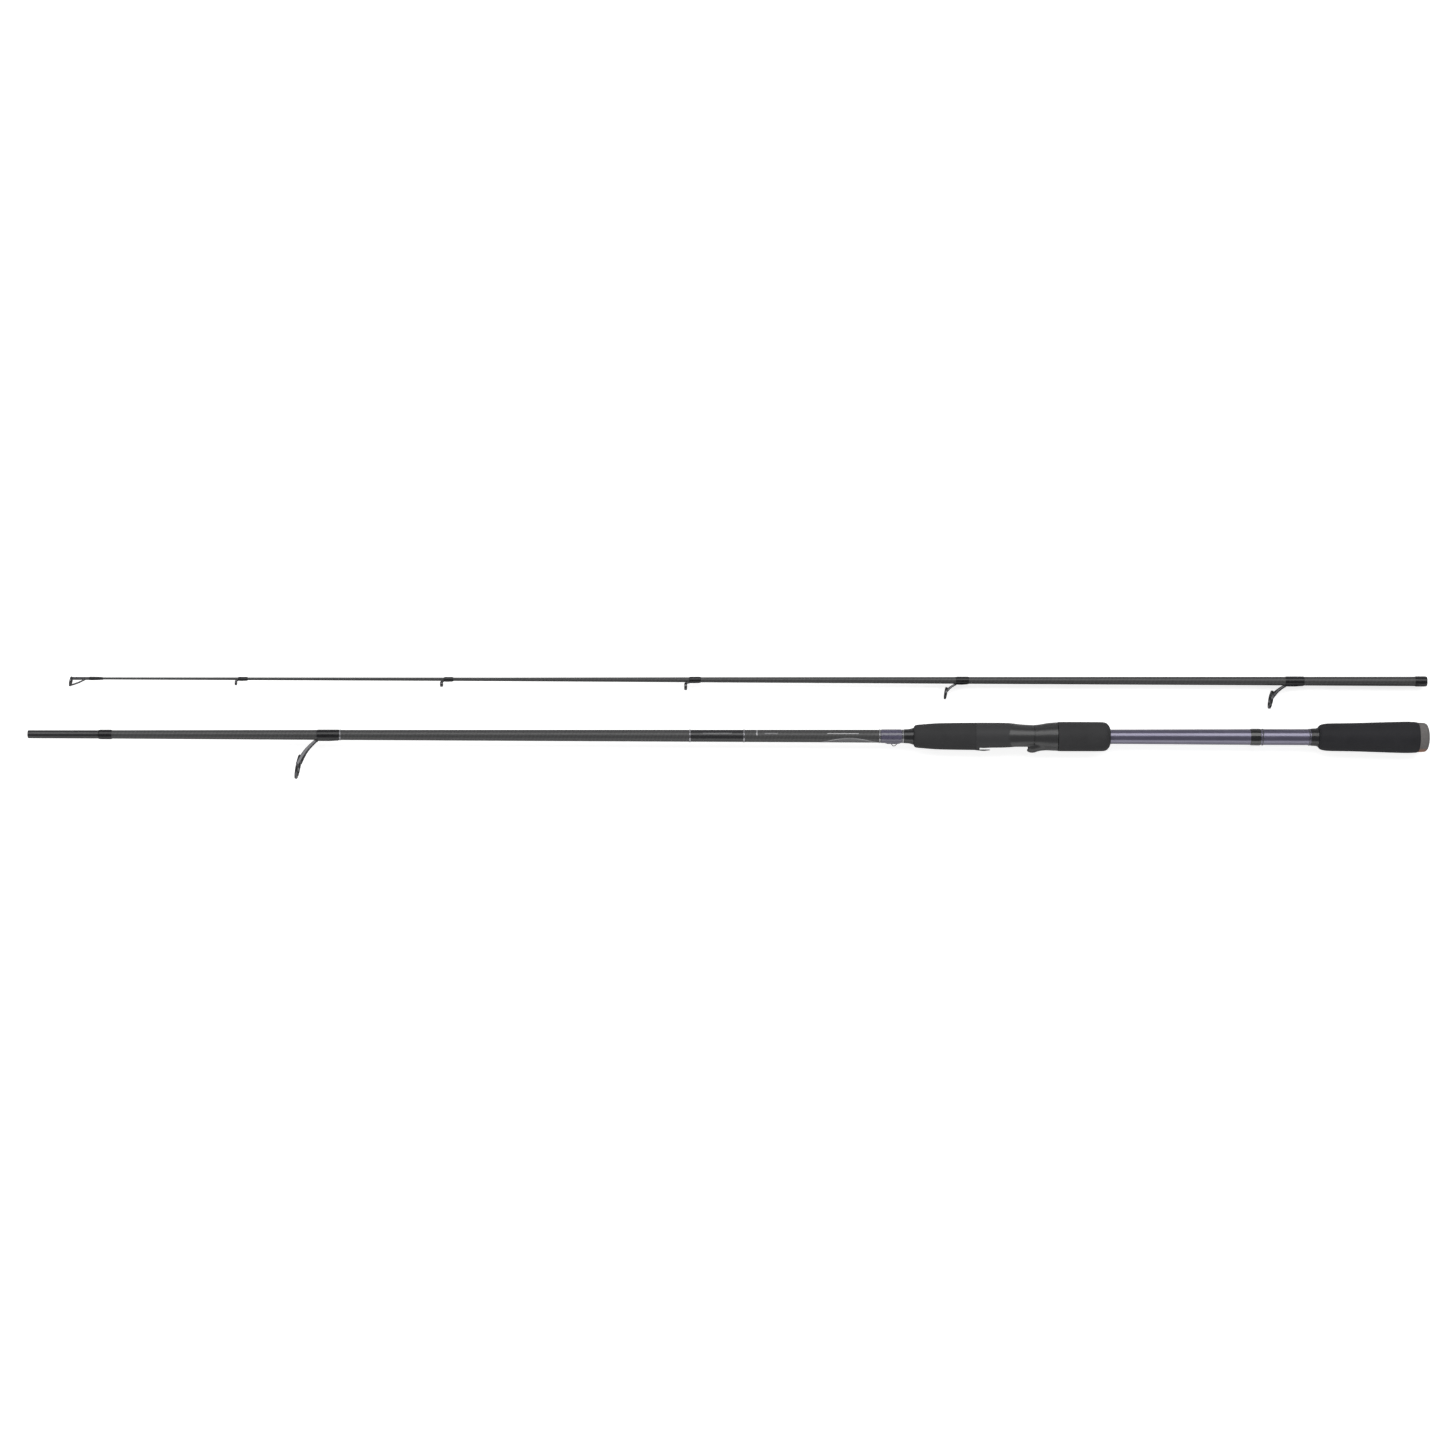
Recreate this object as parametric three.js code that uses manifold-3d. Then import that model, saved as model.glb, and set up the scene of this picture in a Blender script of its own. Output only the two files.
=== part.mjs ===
// Two-piece spinning rod, taken apart: the butt section and the tip section lie side by side.
// Millimetres, +Z up. The rod runs along X with both tips towards -X, and the line guides point to -Y.
// Along each section, a station is the distance from its butt-side end towards its tip.

import * as THREE from 'three';
import { mergeVertices } from 'three/addons/utils/BufferGeometryUtils.js';
import Module from 'manifold-3d';

const wasm = await Module();
wasm.setup();

// ---------- driving dimensions ----------

const ROD_LENGTH = 2400;
const BUTT_LENGTH = 1249;
const FERRULE_OVERLAP = 63;
const TIP_LENGTH = ROD_LENGTH - BUTT_LENGTH + FERRULE_OVERLAP;
const SECTION_SPACING = 50;

// Outer radius of each blank, as [station, radius] where its taper changes.
const BUTT_TAPER = [
  [0, 7.5], [150, 7.15], [282, 6.5], [489, 5.8], [739, 5.2], [1024, 4.4], [1186, 3.75], [BUTT_LENGTH, 3.65],
];
const TIP_TAPER = [[0, 4.3], [FERRULE_OVERLAP, 4.1], [364, 3.25], [632, 2.4], [828, 1.65], [TIP_LENGTH, 1.0]];
const BUTT_WALL = 1.15;
const TIP_WALL = 0.7;
const THINNEST_WALL_SHARE = 0.55;
const SOCKET_BORE = 3.85;
const SOCKET_BORE_TAPER = 0.12;

const GLUE_GAP = 0.1;
const RUNNING_GAP = 0.15;
const SEAM_GAP = 0.5;

const BUTT_SEGMENTS = 20;
const TIP_SEGMENTS = 14;
const HANDLE_SEGMENTS = 28;
const WIRE_SIDES = 6;

// Handle stations, from the butt cap forwards.
const CAP_FRONT = 9;
const REAR_GRIP_FRONT = 98;
const REAR_CHECK_FRONT = 105;
const REAR_WRAP = [149.5, 158.8];
const NUT_GRIP_REAR = 283.7;
const NUT_SLEEVE = 10.9;
const BARREL_REAR = 290;
const NUT_FRONT = 330.4;
const HOOD_FRONT = 351.3;
const SEAT_SHOULDER = HOOD_FRONT + SEAM_GAP;
const FIXED_MOUTH = 391;
const SEAT_FRONT = 403.5;
const FORE_GRIP_FRONT = 459;
const FORE_CHECK_FRONT = 467.4;
const KEEPER_WRAP = [469.4, 488];
const KEEPER_WIRE = 0.35;

// Reel seat.
const SEAT_BORE = 7.4;
const BARREL_RADIUS = 9.2;
const BARREL_FLAT = 8.9;
const SEAT_ARBORS = [[380, 400], [295, 315]];
const THREAD_BORE = BARREL_RADIUS + RUNNING_GAP;
const DECK_DEPTH = 9.2;
const DECK_HALF_WIDTH = 7.2;
const RAIL_HALF_WIDTH = 8.7;
const RAIL_CHAMFER = 0.9;
const DECK_RELIEF = 0.25;
const FIXED_POCKET_HEIGHT = 2.5;
const FIXED_POCKET_DEPTH = 9.5;
const HOOD_MOUTH = 357.3;
const HOOD_LIP = 14.5;
const HOOD_LIP_HALF_WIDTH = 7.8;
const HOOD_CLEARANCE = 10.95;
const HOOD_POCKET_TOP = 13.3;
const HOOD_POCKET_END = 343.5;
const HOOD_POCKET_HALF_WIDTH = 6.4;
const HOOD_CHAMFER = 1;

const FERRULE_STOP = [1174, 1186];
const SOCKET_WRAP = [0.4, 10.7];
const TRIM_STATIONS = [106.2, 147.9, 468.4, 489.2, 610.2, 658.4, 970.4];
const TRIM_WIDTH = 1.1;
const TRIM_HEIGHT = 0.4;

// Line guides: ring is the outer radius, drop how far its centre is below the blank's axis, tilt the forward
// lean in degrees and foot the wrapped stretch.
const STRIPPER = { name: 'stripper', station: 1008, ring: 11, drop: 28.4, tilt: 10, foot: [972.4, 991.5] };
const TIP_GUIDES = [
  { name: 'guide_1', station: 139.4, ring: 8.25, drop: 16.6, tilt: 10, foot: [111, 127] },
  { name: 'guide_2', station: 430, ring: 5.5, drop: 11.5, tilt: 9, foot: [410.5, 421.3] },
  { name: 'guide_3', station: 662.4, ring: 3.4, drop: 5.9, tilt: 1, foot: [650, 659.6] },
  { name: 'guide_4', station: 880.6, ring: 2.5, drop: 4.3, tilt: 0, foot: [871.2, 879] },
  { name: 'guide_5', station: 1064.4, ring: 2.15, drop: 3.7, tilt: 0, foot: [1055, 1063] },
];
const BIG_RING = 5;
const BIG_LEG_REACH = 76;
const SMALL_LEG_REACH = 40;
const WRAP_HEIGHT = 0.4;
const WRAP_EDGE = 0.2;
const TIPTOP = { station: 1212, ring: 4.5, drop: 2.7, tilt: 10 };
const TIPTOP_TUBE = [1190, 1211];
const TIPTOP_TUBE_RADIUS = 1.42;
const TIPTOP_NOSE = 4;
const TIPTOP_WRAP = [1183, 1195.5];
const BRACE_STATION = 1200;
const BRACE_RADIUS = 0.4;
const BRACE_REACH = 150;

const GRIP_RADIUS_MAX = 14;
const BUTT_HEIGHT = GRIP_RADIUS_MAX;
const TIP_HEIGHT = TIP_GUIDES[0].ring;

// ---------- materials ----------

function paint(color, roughness, metalness = 0) {
  return new THREE.MeshStandardMaterial({ color, roughness, metalness });
}

const CARBON = paint(0x2c2b31, 0.25);
const THREAD = paint(0x1b1a20, 0.2);
const PURPLE = paint(0x6a6580, 0.25, 0.6);
const SILVER = paint(0xc4c4c8, 0.25, 1);
const GUNMETAL = paint(0x6b6c70, 0.25, 1);
const CERAMIC = paint(0x3a3b3f, 0.15);
const FOAM = paint(0x2b2b2e, 0.9);
const SEAT = paint(0x313136, 0.45);
const HOOD = paint(0x3c3c41, 0.15, 0.4);
const CAP = paint(0x6b6764, 0.5);
const BUSHING = paint(0x8f8a7c, 0.9);

// ---------- joining and cutting ----------

function toSolid(geometry) {
  const bare = geometry.clone();
  bare.deleteAttribute('normal');
  bare.deleteAttribute('uv');
  const merged = mergeVertices(bare, 1e-4);
  const corners = Array.from(merged.index.array);
  const kept = [];
  for (let i = 0; i < corners.length; i += 3) {
    const [a, b, c] = corners.slice(i, i + 3);
    if (a !== b && b !== c && c !== a) kept.push(a, b, c);
  }
  const vertProperties = new Float32Array(merged.attributes.position.array);
  return new wasm.Manifold(new wasm.Mesh({ numProp: 3, vertProperties, triVerts: new Uint32Array(kept) }));
}

function toGeometry(solid) {
  const mesh = solid.getMesh();
  const geometry = new THREE.BufferGeometry();
  geometry.setAttribute('position', new THREE.BufferAttribute(new Float32Array(mesh.vertProperties), 3));
  geometry.setIndex(new THREE.BufferAttribute(new Uint32Array(mesh.triVerts), 1));
  geometry.computeVertexNormals();
  return geometry;
}

function join(first, ...others) {
  return toGeometry(others.reduce((body, tool) => body.add(toSolid(tool)), toSolid(first)));
}

function cut(first, ...others) {
  return toGeometry(others.reduce((body, tool) => body.subtract(toSolid(tool)), toSolid(first)));
}

// ---------- basic shapes in a section's own axes: x = -station, y across, z up ----------

function radiusAt(taper, station) {
  const next = taper.findIndex(([s]) => s >= station);
  if (next <= 0) return taper[Math.max(next, 0)][1];
  const [s0, r0] = taper[next - 1];
  const [s1, r1] = taper[next];
  return r0 + ((r1 - r0) * (station - s0)) / (s1 - s0);
}

// A body of revolution from [station, radius] points, listed forwards on the outside and back on the inside.
function turned(outline, segments) {
  const points = outline.map(([station, radius]) => new THREE.Vector2(radius, station));
  return new THREE.LatheGeometry(points, segments).rotateZ(Math.PI / 2);
}

function tube(outside, inside, segments) {
  const outline = [...outside, ...inside.slice().reverse()];
  return turned([...outline, outline[0]], segments);
}

function stationsBetween(taper, from, to) {
  return [from, ...taper.map(([s]) => s).filter((s) => s > from && s < to), to];
}

function hollowBlank(taper, from, to, wall, segments) {
  const stations = stationsBetween(taper, from, to);
  const outside = stations.map((s) => [s, radiusAt(taper, s)]);
  const inside = outside.map(([s, r]) => [s, r - Math.min(wall, r * THINNEST_WALL_SHARE)]);
  return tube(outside, inside, segments);
}

// A band round a blank that follows its taper.
function band(taper, [from, to], height, segments) {
  const inside = stationsBetween(taper, from, to).map((s) => [s, radiusAt(taper, s) + GLUE_GAP]);
  return tube(inside.map(([s, r]) => [s, r + height]), inside, segments);
}

function box([s0, s1], [y0, y1], halfWidth) {
  const shape = new THREE.BoxGeometry(s1 - s0, y1 - y0, 2 * halfWidth);
  return shape.translate(-(s0 + s1) / 2, (y0 + y1) / 2, 0);
}

// A plate of the given side outline, [station, depth below the axis], 2 * halfWidth wide, with chamfered edges.
function sideProfile(points, halfWidth, chamfer = 0) {
  const outline = new THREE.Shape(points.map(([s, depth]) => new THREE.Vector2(-s, -depth)));
  const edge = { bevelEnabled: chamfer > 0, bevelSegments: 1, bevelSize: chamfer, bevelThickness: chamfer };
  const depth = 2 * (halfWidth - chamfer);
  const plate = new THREE.ExtrudeGeometry(outline, { depth, ...edge, bevelOffset: -chamfer });
  return plate.translate(0, 0, -(halfWidth - chamfer));
}

// ---------- guides ----------

const holderWall = (ring) => 0.35 + 0.05 * ring;
const holderWidth = (ring) => 0.8 + 0.13 * ring;
const ceramicWall = (ring) => 0.3 + 0.11 * ring;
const footWidth = (ring) => 0.9 + 0.2 * ring;
const footThickness = (ring) => 0.4 + 0.045 * ring;
const legRadius = (ring) => 0.28 + 0.055 * ring;

function placeRing(geometry, guide) {
  const tilt = -THREE.MathUtils.degToRad(guide.tilt);
  return geometry.rotateZ(tilt).translate(-guide.station, -guide.drop, 0);
}

function ringSegments(guide) {
  return guide.ring > TIPTOP.ring - 1 ? 20 : 12;
}

function holderRing(guide) {
  const half = holderWidth(guide.ring) / 2;
  const inner = guide.ring - holderWall(guide.ring);
  const edge = guide.ring - 0.15;
  const outside = [[-half, edge], [-half + 0.3, guide.ring], [half - 0.3, guide.ring], [half, edge]];
  return placeRing(tube(outside, [[-half, inner], [half, inner]], ringSegments(guide)), guide);
}

function ceramicRing(guide) {
  const outer = guide.ring - holderWall(guide.ring) - GLUE_GAP;
  const wall = ceramicWall(guide.ring);
  const half = holderWidth(guide.ring) / 2 + 0.25;
  const middle = outer - wall / 2;
  const outside = [[-half, middle], [-half * 0.6, outer], [half * 0.6, outer], [half, middle]];
  const inside = [[-half, middle], [-half * 0.5, outer - wall], [half * 0.5, outer - wall], [half, middle]];
  const outline = [...outside, ...inside.slice(1, 3).reverse()];
  return placeRing(turned([...outline, outline[0]], ringSegments(guide)), guide);
}

// The round space inside the holder ring, where the ceramic ring sits.
function ringSpace(guide) {
  const half = holderWidth(guide.ring) * 1.6;
  const radius = guide.ring - holderWall(guide.ring);
  const outline = [[-half, 0], [-half, radius], [half, radius], [half, 0]];
  return placeRing(turned(outline, ringSegments(guide)), guide);
}

function footLevel(guide, taper) {
  return radiusAt(taper, guide.foot[0]) + GLUE_GAP;
}

// The flat foot under the blank, tapering towards the butt.
function guideFoot(guide, taper, clearance = 0) {
  const [rear, front] = guide.foot;
  const half = footWidth(guide.ring) / 2 + clearance;
  const tail = half * 0.45;
  const nose = front + 1.6 * legRadius(guide.ring) + clearance;
  const outline = new THREE.Shape();
  outline.moveTo(-rear + clearance, -tail);
  outline.lineTo(-rear + clearance, tail);
  outline.lineTo(-(rear + front) / 2, half);
  outline.lineTo(-nose, half);
  outline.lineTo(-nose, -half);
  outline.lineTo(-(rear + front) / 2, -half);
  const thickness = footThickness(guide.ring) + clearance;
  const plate = new THREE.ExtrudeGeometry(outline, { depth: thickness, bevelEnabled: false });
  return plate.rotateX(Math.PI / 2).translate(0, -footLevel(guide, taper), 0);
}

// A wire of WIRE_SIDES flats swept along a smooth curve through the points.
function roundWire(points, radius, steps) {
  const corner = (index) => {
    const angle = (2 * Math.PI * index) / WIRE_SIDES;
    return new THREE.Vector2(radius * Math.cos(angle), radius * Math.sin(angle));
  };
  const section = new THREE.Shape(Array.from({ length: WIRE_SIDES }, (_, index) => corner(index)));
  const path = new THREE.CatmullRomCurve3(points);
  return new THREE.ExtrudeGeometry(section, { steps, extrudePath: path, bevelEnabled: false });
}

// A leg leaves the foot's front corner and meets the holder ring on its side.
function guideLeg(guide, taper, side) {
  const radius = legRadius(guide.ring);
  const reach = THREE.MathUtils.degToRad(guide.ring > BIG_RING ? BIG_LEG_REACH : SMALL_LEG_REACH);
  const ringRadius = guide.ring - holderWall(guide.ring) / 2;
  const level = -footLevel(guide, taper) - footThickness(guide.ring) / 2;
  const start = new THREE.Vector3(-guide.foot[1] - radius, level, side * footWidth(guide.ring) * 0.25);
  const lift = ringRadius * Math.cos(reach);
  const lean = lift * Math.sin(THREE.MathUtils.degToRad(guide.tilt));
  const across = side * ringRadius * Math.sin(reach);
  const end = new THREE.Vector3(-guide.station + lean + 0.15, -guide.drop + lift, across);
  const middle = start.clone().lerp(end, 0.45);
  middle.x -= 0.06 * guide.drop;
  return roundWire([start, middle, end], radius, 4);
}

function guideFrame(guide, taper) {
  const legs = [-1, 1].map((side) => guideLeg(guide, taper, side));
  return cut(join(guideFoot(guide, taper), ...legs, holderRing(guide)), ringSpace(guide));
}

// Thread and epoxy round the blank and the foot: an off-centre sleeve that is thicker under the blank.
function guideWrap(guide, taper, segments) {
  const [rear, front] = guide.foot;
  const thickness = footThickness(guide.ring);
  const from = rear - 1.2;
  const to = front - 0.4;
  const blank = radiusAt(taper, from) + GLUE_GAP;
  const outer = blank + WRAP_HEIGHT + thickness / 2;
  const slope = Math.min(2, (to - from) * 0.2);
  const low = outer - WRAP_EDGE;
  const outline = [[from, 0], [from, low], [from + slope, outer], [to - slope, outer], [to, low], [to, 0]];
  const body = turned(outline, segments).translate(0, -thickness / 2, 0);
  const bore = turned([[from - 1, 0], [from - 1, blank], [to + 1, blank], [to + 1, 0]], segments);
  return cut(body, bore, guideFoot(guide, taper, GLUE_GAP));
}

// ---------- butt section ----------

// The bore that fits round the blank at a station, with its glue.
function around(station) {
  return radiusAt(BUTT_TAPER, station) + GLUE_GAP;
}

function foreGrip() {
  const outside = [
    [SEAT_FRONT + 0.2, 12.1], [420, 12.05], [436, 11.75], [450, 10.8],
    [456.6, 10.2], [458, 9.2], [FORE_GRIP_FRONT, 7.6],
  ];
  const bore = around(SEAT_FRONT);
  return tube(outside, [[SEAT_FRONT + 0.2, bore], [FORE_GRIP_FRONT, bore]], HANDLE_SEGMENTS);
}

function rearGrip() {
  const outside = [
    [CAP_FRONT + 0.2, 13.3], [12, 13.85], [22, GRIP_RADIUS_MAX], [45, 13.35], [66, 12.7],
    [86, 12.4], [92, 12], [95.5, 11.1], [REAR_GRIP_FRONT, 8.6],
  ];
  return tube(outside, [[CAP_FRONT + 0.2, around(0)], [REAR_GRIP_FRONT, around(0)]], HANDLE_SEGMENTS);
}

function buttCap() {
  const outside = [[0, 0], [0, 8.6], [0.9, 11], [2.4, 12.5], [4.2, 13], [CAP_FRONT, 13.2], [CAP_FRONT, 0]];
  return turned(outside, HANDLE_SEGMENTS);
}

function rearCheck() {
  const bore = around(REAR_GRIP_FRONT);
  const outside = [[REAR_GRIP_FRONT + 0.2, 8.5], [100, 7.95], [104, 7.75], [REAR_CHECK_FRONT, 7.6]];
  return tube(outside, [[REAR_GRIP_FRONT + 0.2, bore], [REAR_CHECK_FRONT, bore]], HANDLE_SEGMENTS);
}

function foreCheck() {
  const bore = around(FORE_GRIP_FRONT);
  const outside = [[FORE_GRIP_FRONT + 0.2, 7.5], [460.6, 7.1], [463, 6.5], [FORE_CHECK_FRONT, 6.25]];
  return tube(outside, [[FORE_GRIP_FRONT + 0.2, bore], [FORE_CHECK_FRONT, bore]], HANDLE_SEGMENTS);
}

// The round bar of space that a bore takes out of the handle.
function drill(from, to, radius) {
  return turned([[from, 0], [from, radius], [to, radius], [to, 0]], HANDLE_SEGMENTS);
}

// A waisted body that ends in the threaded barrel, with rails beside a recessed deck and a fixed hood in front.
function seatBody() {
  const outside = [
    [BARREL_REAR, BARREL_RADIUS], [SEAT_SHOULDER, BARREL_RADIUS], [SEAT_SHOULDER, 10.25], [357, 10.5],
    [364, 10.9], [369, 11.6], [376, 12.15], [390, 12.25], [SEAT_FRONT, 12.2],
  ];
  const body = tube(outside, [[BARREL_REAR, SEAT_BORE], [SEAT_FRONT, SEAT_BORE]], HANDLE_SEGMENTS);
  const rails = sideProfile(
    [[SEAT_SHOULDER, 6], [SEAT_SHOULDER, 10.5], [360, 10.75], [372, 11.6], [FIXED_MOUTH, 12.3], [396, 12.9],
      [SEAT_FRONT, 12.35], [SEAT_FRONT, 6]], RAIL_HALF_WIDTH, RAIL_CHAMFER);
  const bore = drill(SEAT_SHOULDER - 1, SEAT_FRONT + 1, SEAT_BORE);
  const below = -20;
  const deck = box([BARREL_REAR + 25, FIXED_MOUTH], [below, -DECK_DEPTH], DECK_HALF_WIDTH);
  const flat = box([BARREL_REAR - 1, SEAT_SHOULDER], [below, -BARREL_FLAT], BARREL_RADIUS);
  const pocket = box([FIXED_MOUTH - 1, FIXED_MOUTH + FIXED_POCKET_DEPTH],
    [-DECK_DEPTH - FIXED_POCKET_HEIGHT, -DECK_DEPTH], DECK_HALF_WIDTH);
  const relief = box([HOOD_MOUTH + 1.5, FIXED_MOUTH - 1.5], [below, -DECK_DEPTH + DECK_RELIEF],
    DECK_HALF_WIDTH - 0.6);
  return cut(join(body, cut(rails, bore)), deck, flat, pocket, relief);
}

function arbor(from, to) {
  const inside = [[from, around(from)], [to, around(from)]];
  return tube([[from, SEAT_BORE - GLUE_GAP], [to, SEAT_BORE - GLUE_GAP]], inside, HANDLE_SEGMENTS);
}

// The hood runs on the barrel; its visor reaches forwards over the deck and its pocket narrows to the rear.
function movingHood() {
  const rear = NUT_FRONT + SEAM_GAP;
  const outside = [
    [rear, 12.7], [332.6, 12.5], [335, 12.35], [338.5, 12.1], [341.5, 11.5], [344.5, 10.95], [HOOD_FRONT, 10.4],
  ];
  const ring = tube(outside, [[rear, THREAD_BORE], [HOOD_FRONT, THREAD_BORE]], HANDLE_SEGMENTS);
  const visor = sideProfile(
    [[334, 4], [334, 12.2], [345.5, 12.75], [349, 13.6], [351.5, HOOD_LIP], [355.2, HOOD_LIP - 0.1],
      [HOOD_MOUTH, 13.6], [HOOD_MOUTH, HOOD_CLEARANCE], [HOOD_FRONT, HOOD_CLEARANCE], [HOOD_FRONT, 4]],
    HOOD_LIP_HALF_WIDTH, HOOD_CHAMFER);
  const pocket = sideProfile(
    [[HOOD_POCKET_END, 8], [HOOD_POCKET_END, 11.2], [HOOD_MOUTH + 1, HOOD_POCKET_TOP], [HOOD_MOUTH + 1, 8]],
    HOOD_POCKET_HALF_WIDTH);
  return cut(join(ring, visor), pocket, drill(rear - 1, HOOD_MOUTH + 1, THREAD_BORE));
}

function nutCore() {
  const rear = BARREL_REAR + 1;
  const outside = [[rear, NUT_SLEEVE], [NUT_FRONT, NUT_SLEEVE]];
  return tube(outside, [[rear, THREAD_BORE], [NUT_FRONT, THREAD_BORE]], HANDLE_SEGMENTS);
}

// Foam over the nut, closing round the blank at its rear end with a running gap.
function nutGrip() {
  const sleeve = NUT_SLEEVE + GLUE_GAP;
  const outside = [
    [NUT_GRIP_REAR, 7.8], [285.2, 9.8], [286.6, 12], [289, 12.9], [310, 13.1], [327, 13.1], [NUT_FRONT, 12.95],
  ];
  const inside = [
    [NUT_GRIP_REAR, 7.3], [BARREL_REAR - 1.5, 7.3], [BARREL_REAR - 1.4, sleeve], [NUT_FRONT, sleeve],
  ];
  return tube(outside, inside, HANDLE_SEGMENTS);
}

// A wire loop whose two feet lie in a groove along the underside of its wrap.
function hookKeeper() {
  const level = radiusAt(BUTT_TAPER, KEEPER_WRAP[0]) + 2.5 * GLUE_GAP + KEEPER_WIRE;
  const loop = [[471, 0], [473.4, 0], [474.6, 1.4], [476.4, 2.4], [478.2, 1.4], [479.4, 0], [484, 0]];
  const points = loop.map(([station, depth]) => new THREE.Vector3(-station, -level - depth, 0));
  return roundWire(points, KEEPER_WIRE, 20);
}

function keeperWrap() {
  const sleeve = band(BUTT_TAPER, KEEPER_WRAP, 0.4, BUTT_SEGMENTS);
  return cut(sleeve, box([470, 485], [-9, -5], KEEPER_WIRE + GLUE_GAP));
}

// ---------- tip section ----------

function ferruleSocket() {
  const outside = [[0, radiusAt(TIP_TAPER, 0)], [FERRULE_OVERLAP, radiusAt(TIP_TAPER, FERRULE_OVERLAP)]];
  return tube(outside, [[0, SOCKET_BORE], [FERRULE_OVERLAP, SOCKET_BORE - SOCKET_BORE_TAPER]], BUTT_SEGMENTS);
}

function tiptopFrame() {
  const [rear, front] = TIPTOP_TUBE;
  const bore = radiusAt(TIP_TAPER, rear) + GLUE_GAP;
  const radius = TIPTOP_TUBE_RADIUS;
  const outline = [[rear, 0], [rear, radius - 0.1], [rear + 0.4, radius], [front + 1, radius], [front + 1, 0]];
  const sleeve = turned(outline, TIP_SEGMENTS);
  const hollowEnd = front - TIPTOP_NOSE;
  const blankHole = turned([[rear - 1, 0], [rear - 1, bore], [hollowEnd, bore], [hollowEnd, 0]], TIP_SEGMENTS);
  const ringRadius = TIPTOP.ring - holderWall(TIPTOP.ring) / 2;
  const reach = THREE.MathUtils.degToRad(BRACE_REACH);
  const drop = ringRadius * Math.cos(reach);
  const lean = drop * Math.sin(THREE.MathUtils.degToRad(TIPTOP.tilt));
  const braces = [-1, 1].map((side) => {
    const start = new THREE.Vector3(-BRACE_STATION, -1, side * 0.75);
    const across = side * ringRadius * Math.sin(reach);
    const end = new THREE.Vector3(-TIPTOP.station + lean + 0.2, -TIPTOP.drop + drop, across);
    const middle = start.clone().lerp(end, 0.5).add(new THREE.Vector3(0, -0.4, side * 0.5));
    return roundWire([start, middle, end], BRACE_RADIUS, 4);
  });
  return cut(join(sleeve, ...braces, holderRing(TIPTOP)), blankHole, ringSpace(TIPTOP));
}

function tiptopWrap() {
  const [from, to] = TIPTOP_WRAP;
  const [rear] = TIPTOP_TUBE;
  const low = radiusAt(TIP_TAPER, from) + GLUE_GAP;
  const high = TIPTOP_TUBE_RADIUS + GLUE_GAP;
  const outside = [[from, low + 0.12], [rear - 1, high + 0.1], [to - 1, high + 0.15], [to, high + 0.1]];
  return tube(outside, [[from, low], [rear - 0.4, low], [rear - 0.3, high], [to, high]], TIP_SEGMENTS);
}

// ---------- assembly ----------

function mesh(name, geometry, material) {
  const node = new THREE.Mesh(geometry, material);
  node.name = name;
  return node;
}

function guideSet(guide, taper, segments) {
  return [
    mesh(`${guide.name}_frame`, guideFrame(guide, taper), GUNMETAL),
    mesh(`${guide.name}_ring`, ceramicRing(guide), CERAMIC),
    mesh(`${guide.name}_wrap`, guideWrap(guide, taper, segments), THREAD),
  ];
}

function trimRing(station, index) {
  const span = [station - TRIM_WIDTH / 2, station + TRIM_WIDTH / 2];
  return mesh(`trim_ring_${index + 1}`, band(BUTT_TAPER, span, TRIM_HEIGHT, BUTT_SEGMENTS), SILVER);
}

function buttSection() {
  const section = new THREE.Group();
  const blankRear = CAP_FRONT + 0.3;
  section.add(
    mesh('butt_blank', hollowBlank(BUTT_TAPER, blankRear, BUTT_LENGTH, BUTT_WALL, BUTT_SEGMENTS), CARBON),
    mesh('ferrule_stop_wrap', band(BUTT_TAPER, FERRULE_STOP, 0.5, BUTT_SEGMENTS), THREAD),
    mesh('rear_wrap', band(BUTT_TAPER, REAR_WRAP, 0.4, BUTT_SEGMENTS), THREAD),
    mesh('keeper_wrap', keeperWrap(), PURPLE),
    mesh('hook_keeper', hookKeeper(), GUNMETAL),
    mesh('fore_check', foreCheck(), THREAD),
    mesh('fore_grip', foreGrip(), FOAM),
    mesh('seat_body', seatBody(), SEAT),
    mesh('seat_arbor_front', arbor(...SEAT_ARBORS[0]), BUSHING),
    mesh('seat_arbor_rear', arbor(...SEAT_ARBORS[1]), BUSHING),
    mesh('rear_check', rearCheck(), THREAD),
    mesh('rear_grip', rearGrip(), FOAM),
    mesh('butt_cap', buttCap(), CAP),
    mesh('moving_hood', movingHood(), HOOD),
    mesh('nut_core', nutCore(), HOOD),
    mesh('nut_grip', nutGrip(), FOAM),
    ...guideSet(STRIPPER, BUTT_TAPER, BUTT_SEGMENTS),
    ...TRIM_STATIONS.map(trimRing),
  );
  return section;
}

function tipSection() {
  const section = new THREE.Group();
  const blankTip = TIPTOP_TUBE[1] - TIPTOP_NOSE - 0.5;
  section.add(
    mesh('ferrule_socket', ferruleSocket(), CARBON),
    mesh('tip_blank', hollowBlank(TIP_TAPER, FERRULE_OVERLAP + 0.2, blankTip, TIP_WALL, TIP_SEGMENTS), CARBON),
    mesh('socket_wrap', band(TIP_TAPER, SOCKET_WRAP, 0.3, BUTT_SEGMENTS), THREAD),
    mesh('tiptop_frame', tiptopFrame(), GUNMETAL),
    mesh('tiptop_ring', ceramicRing(TIPTOP), CERAMIC),
    mesh('tiptop_wrap', tiptopWrap(), THREAD),
    ...TIP_GUIDES.flatMap((guide) => guideSet(guide, TIP_TAPER, TIP_SEGMENTS)),
  );
  return section;
}

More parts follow.
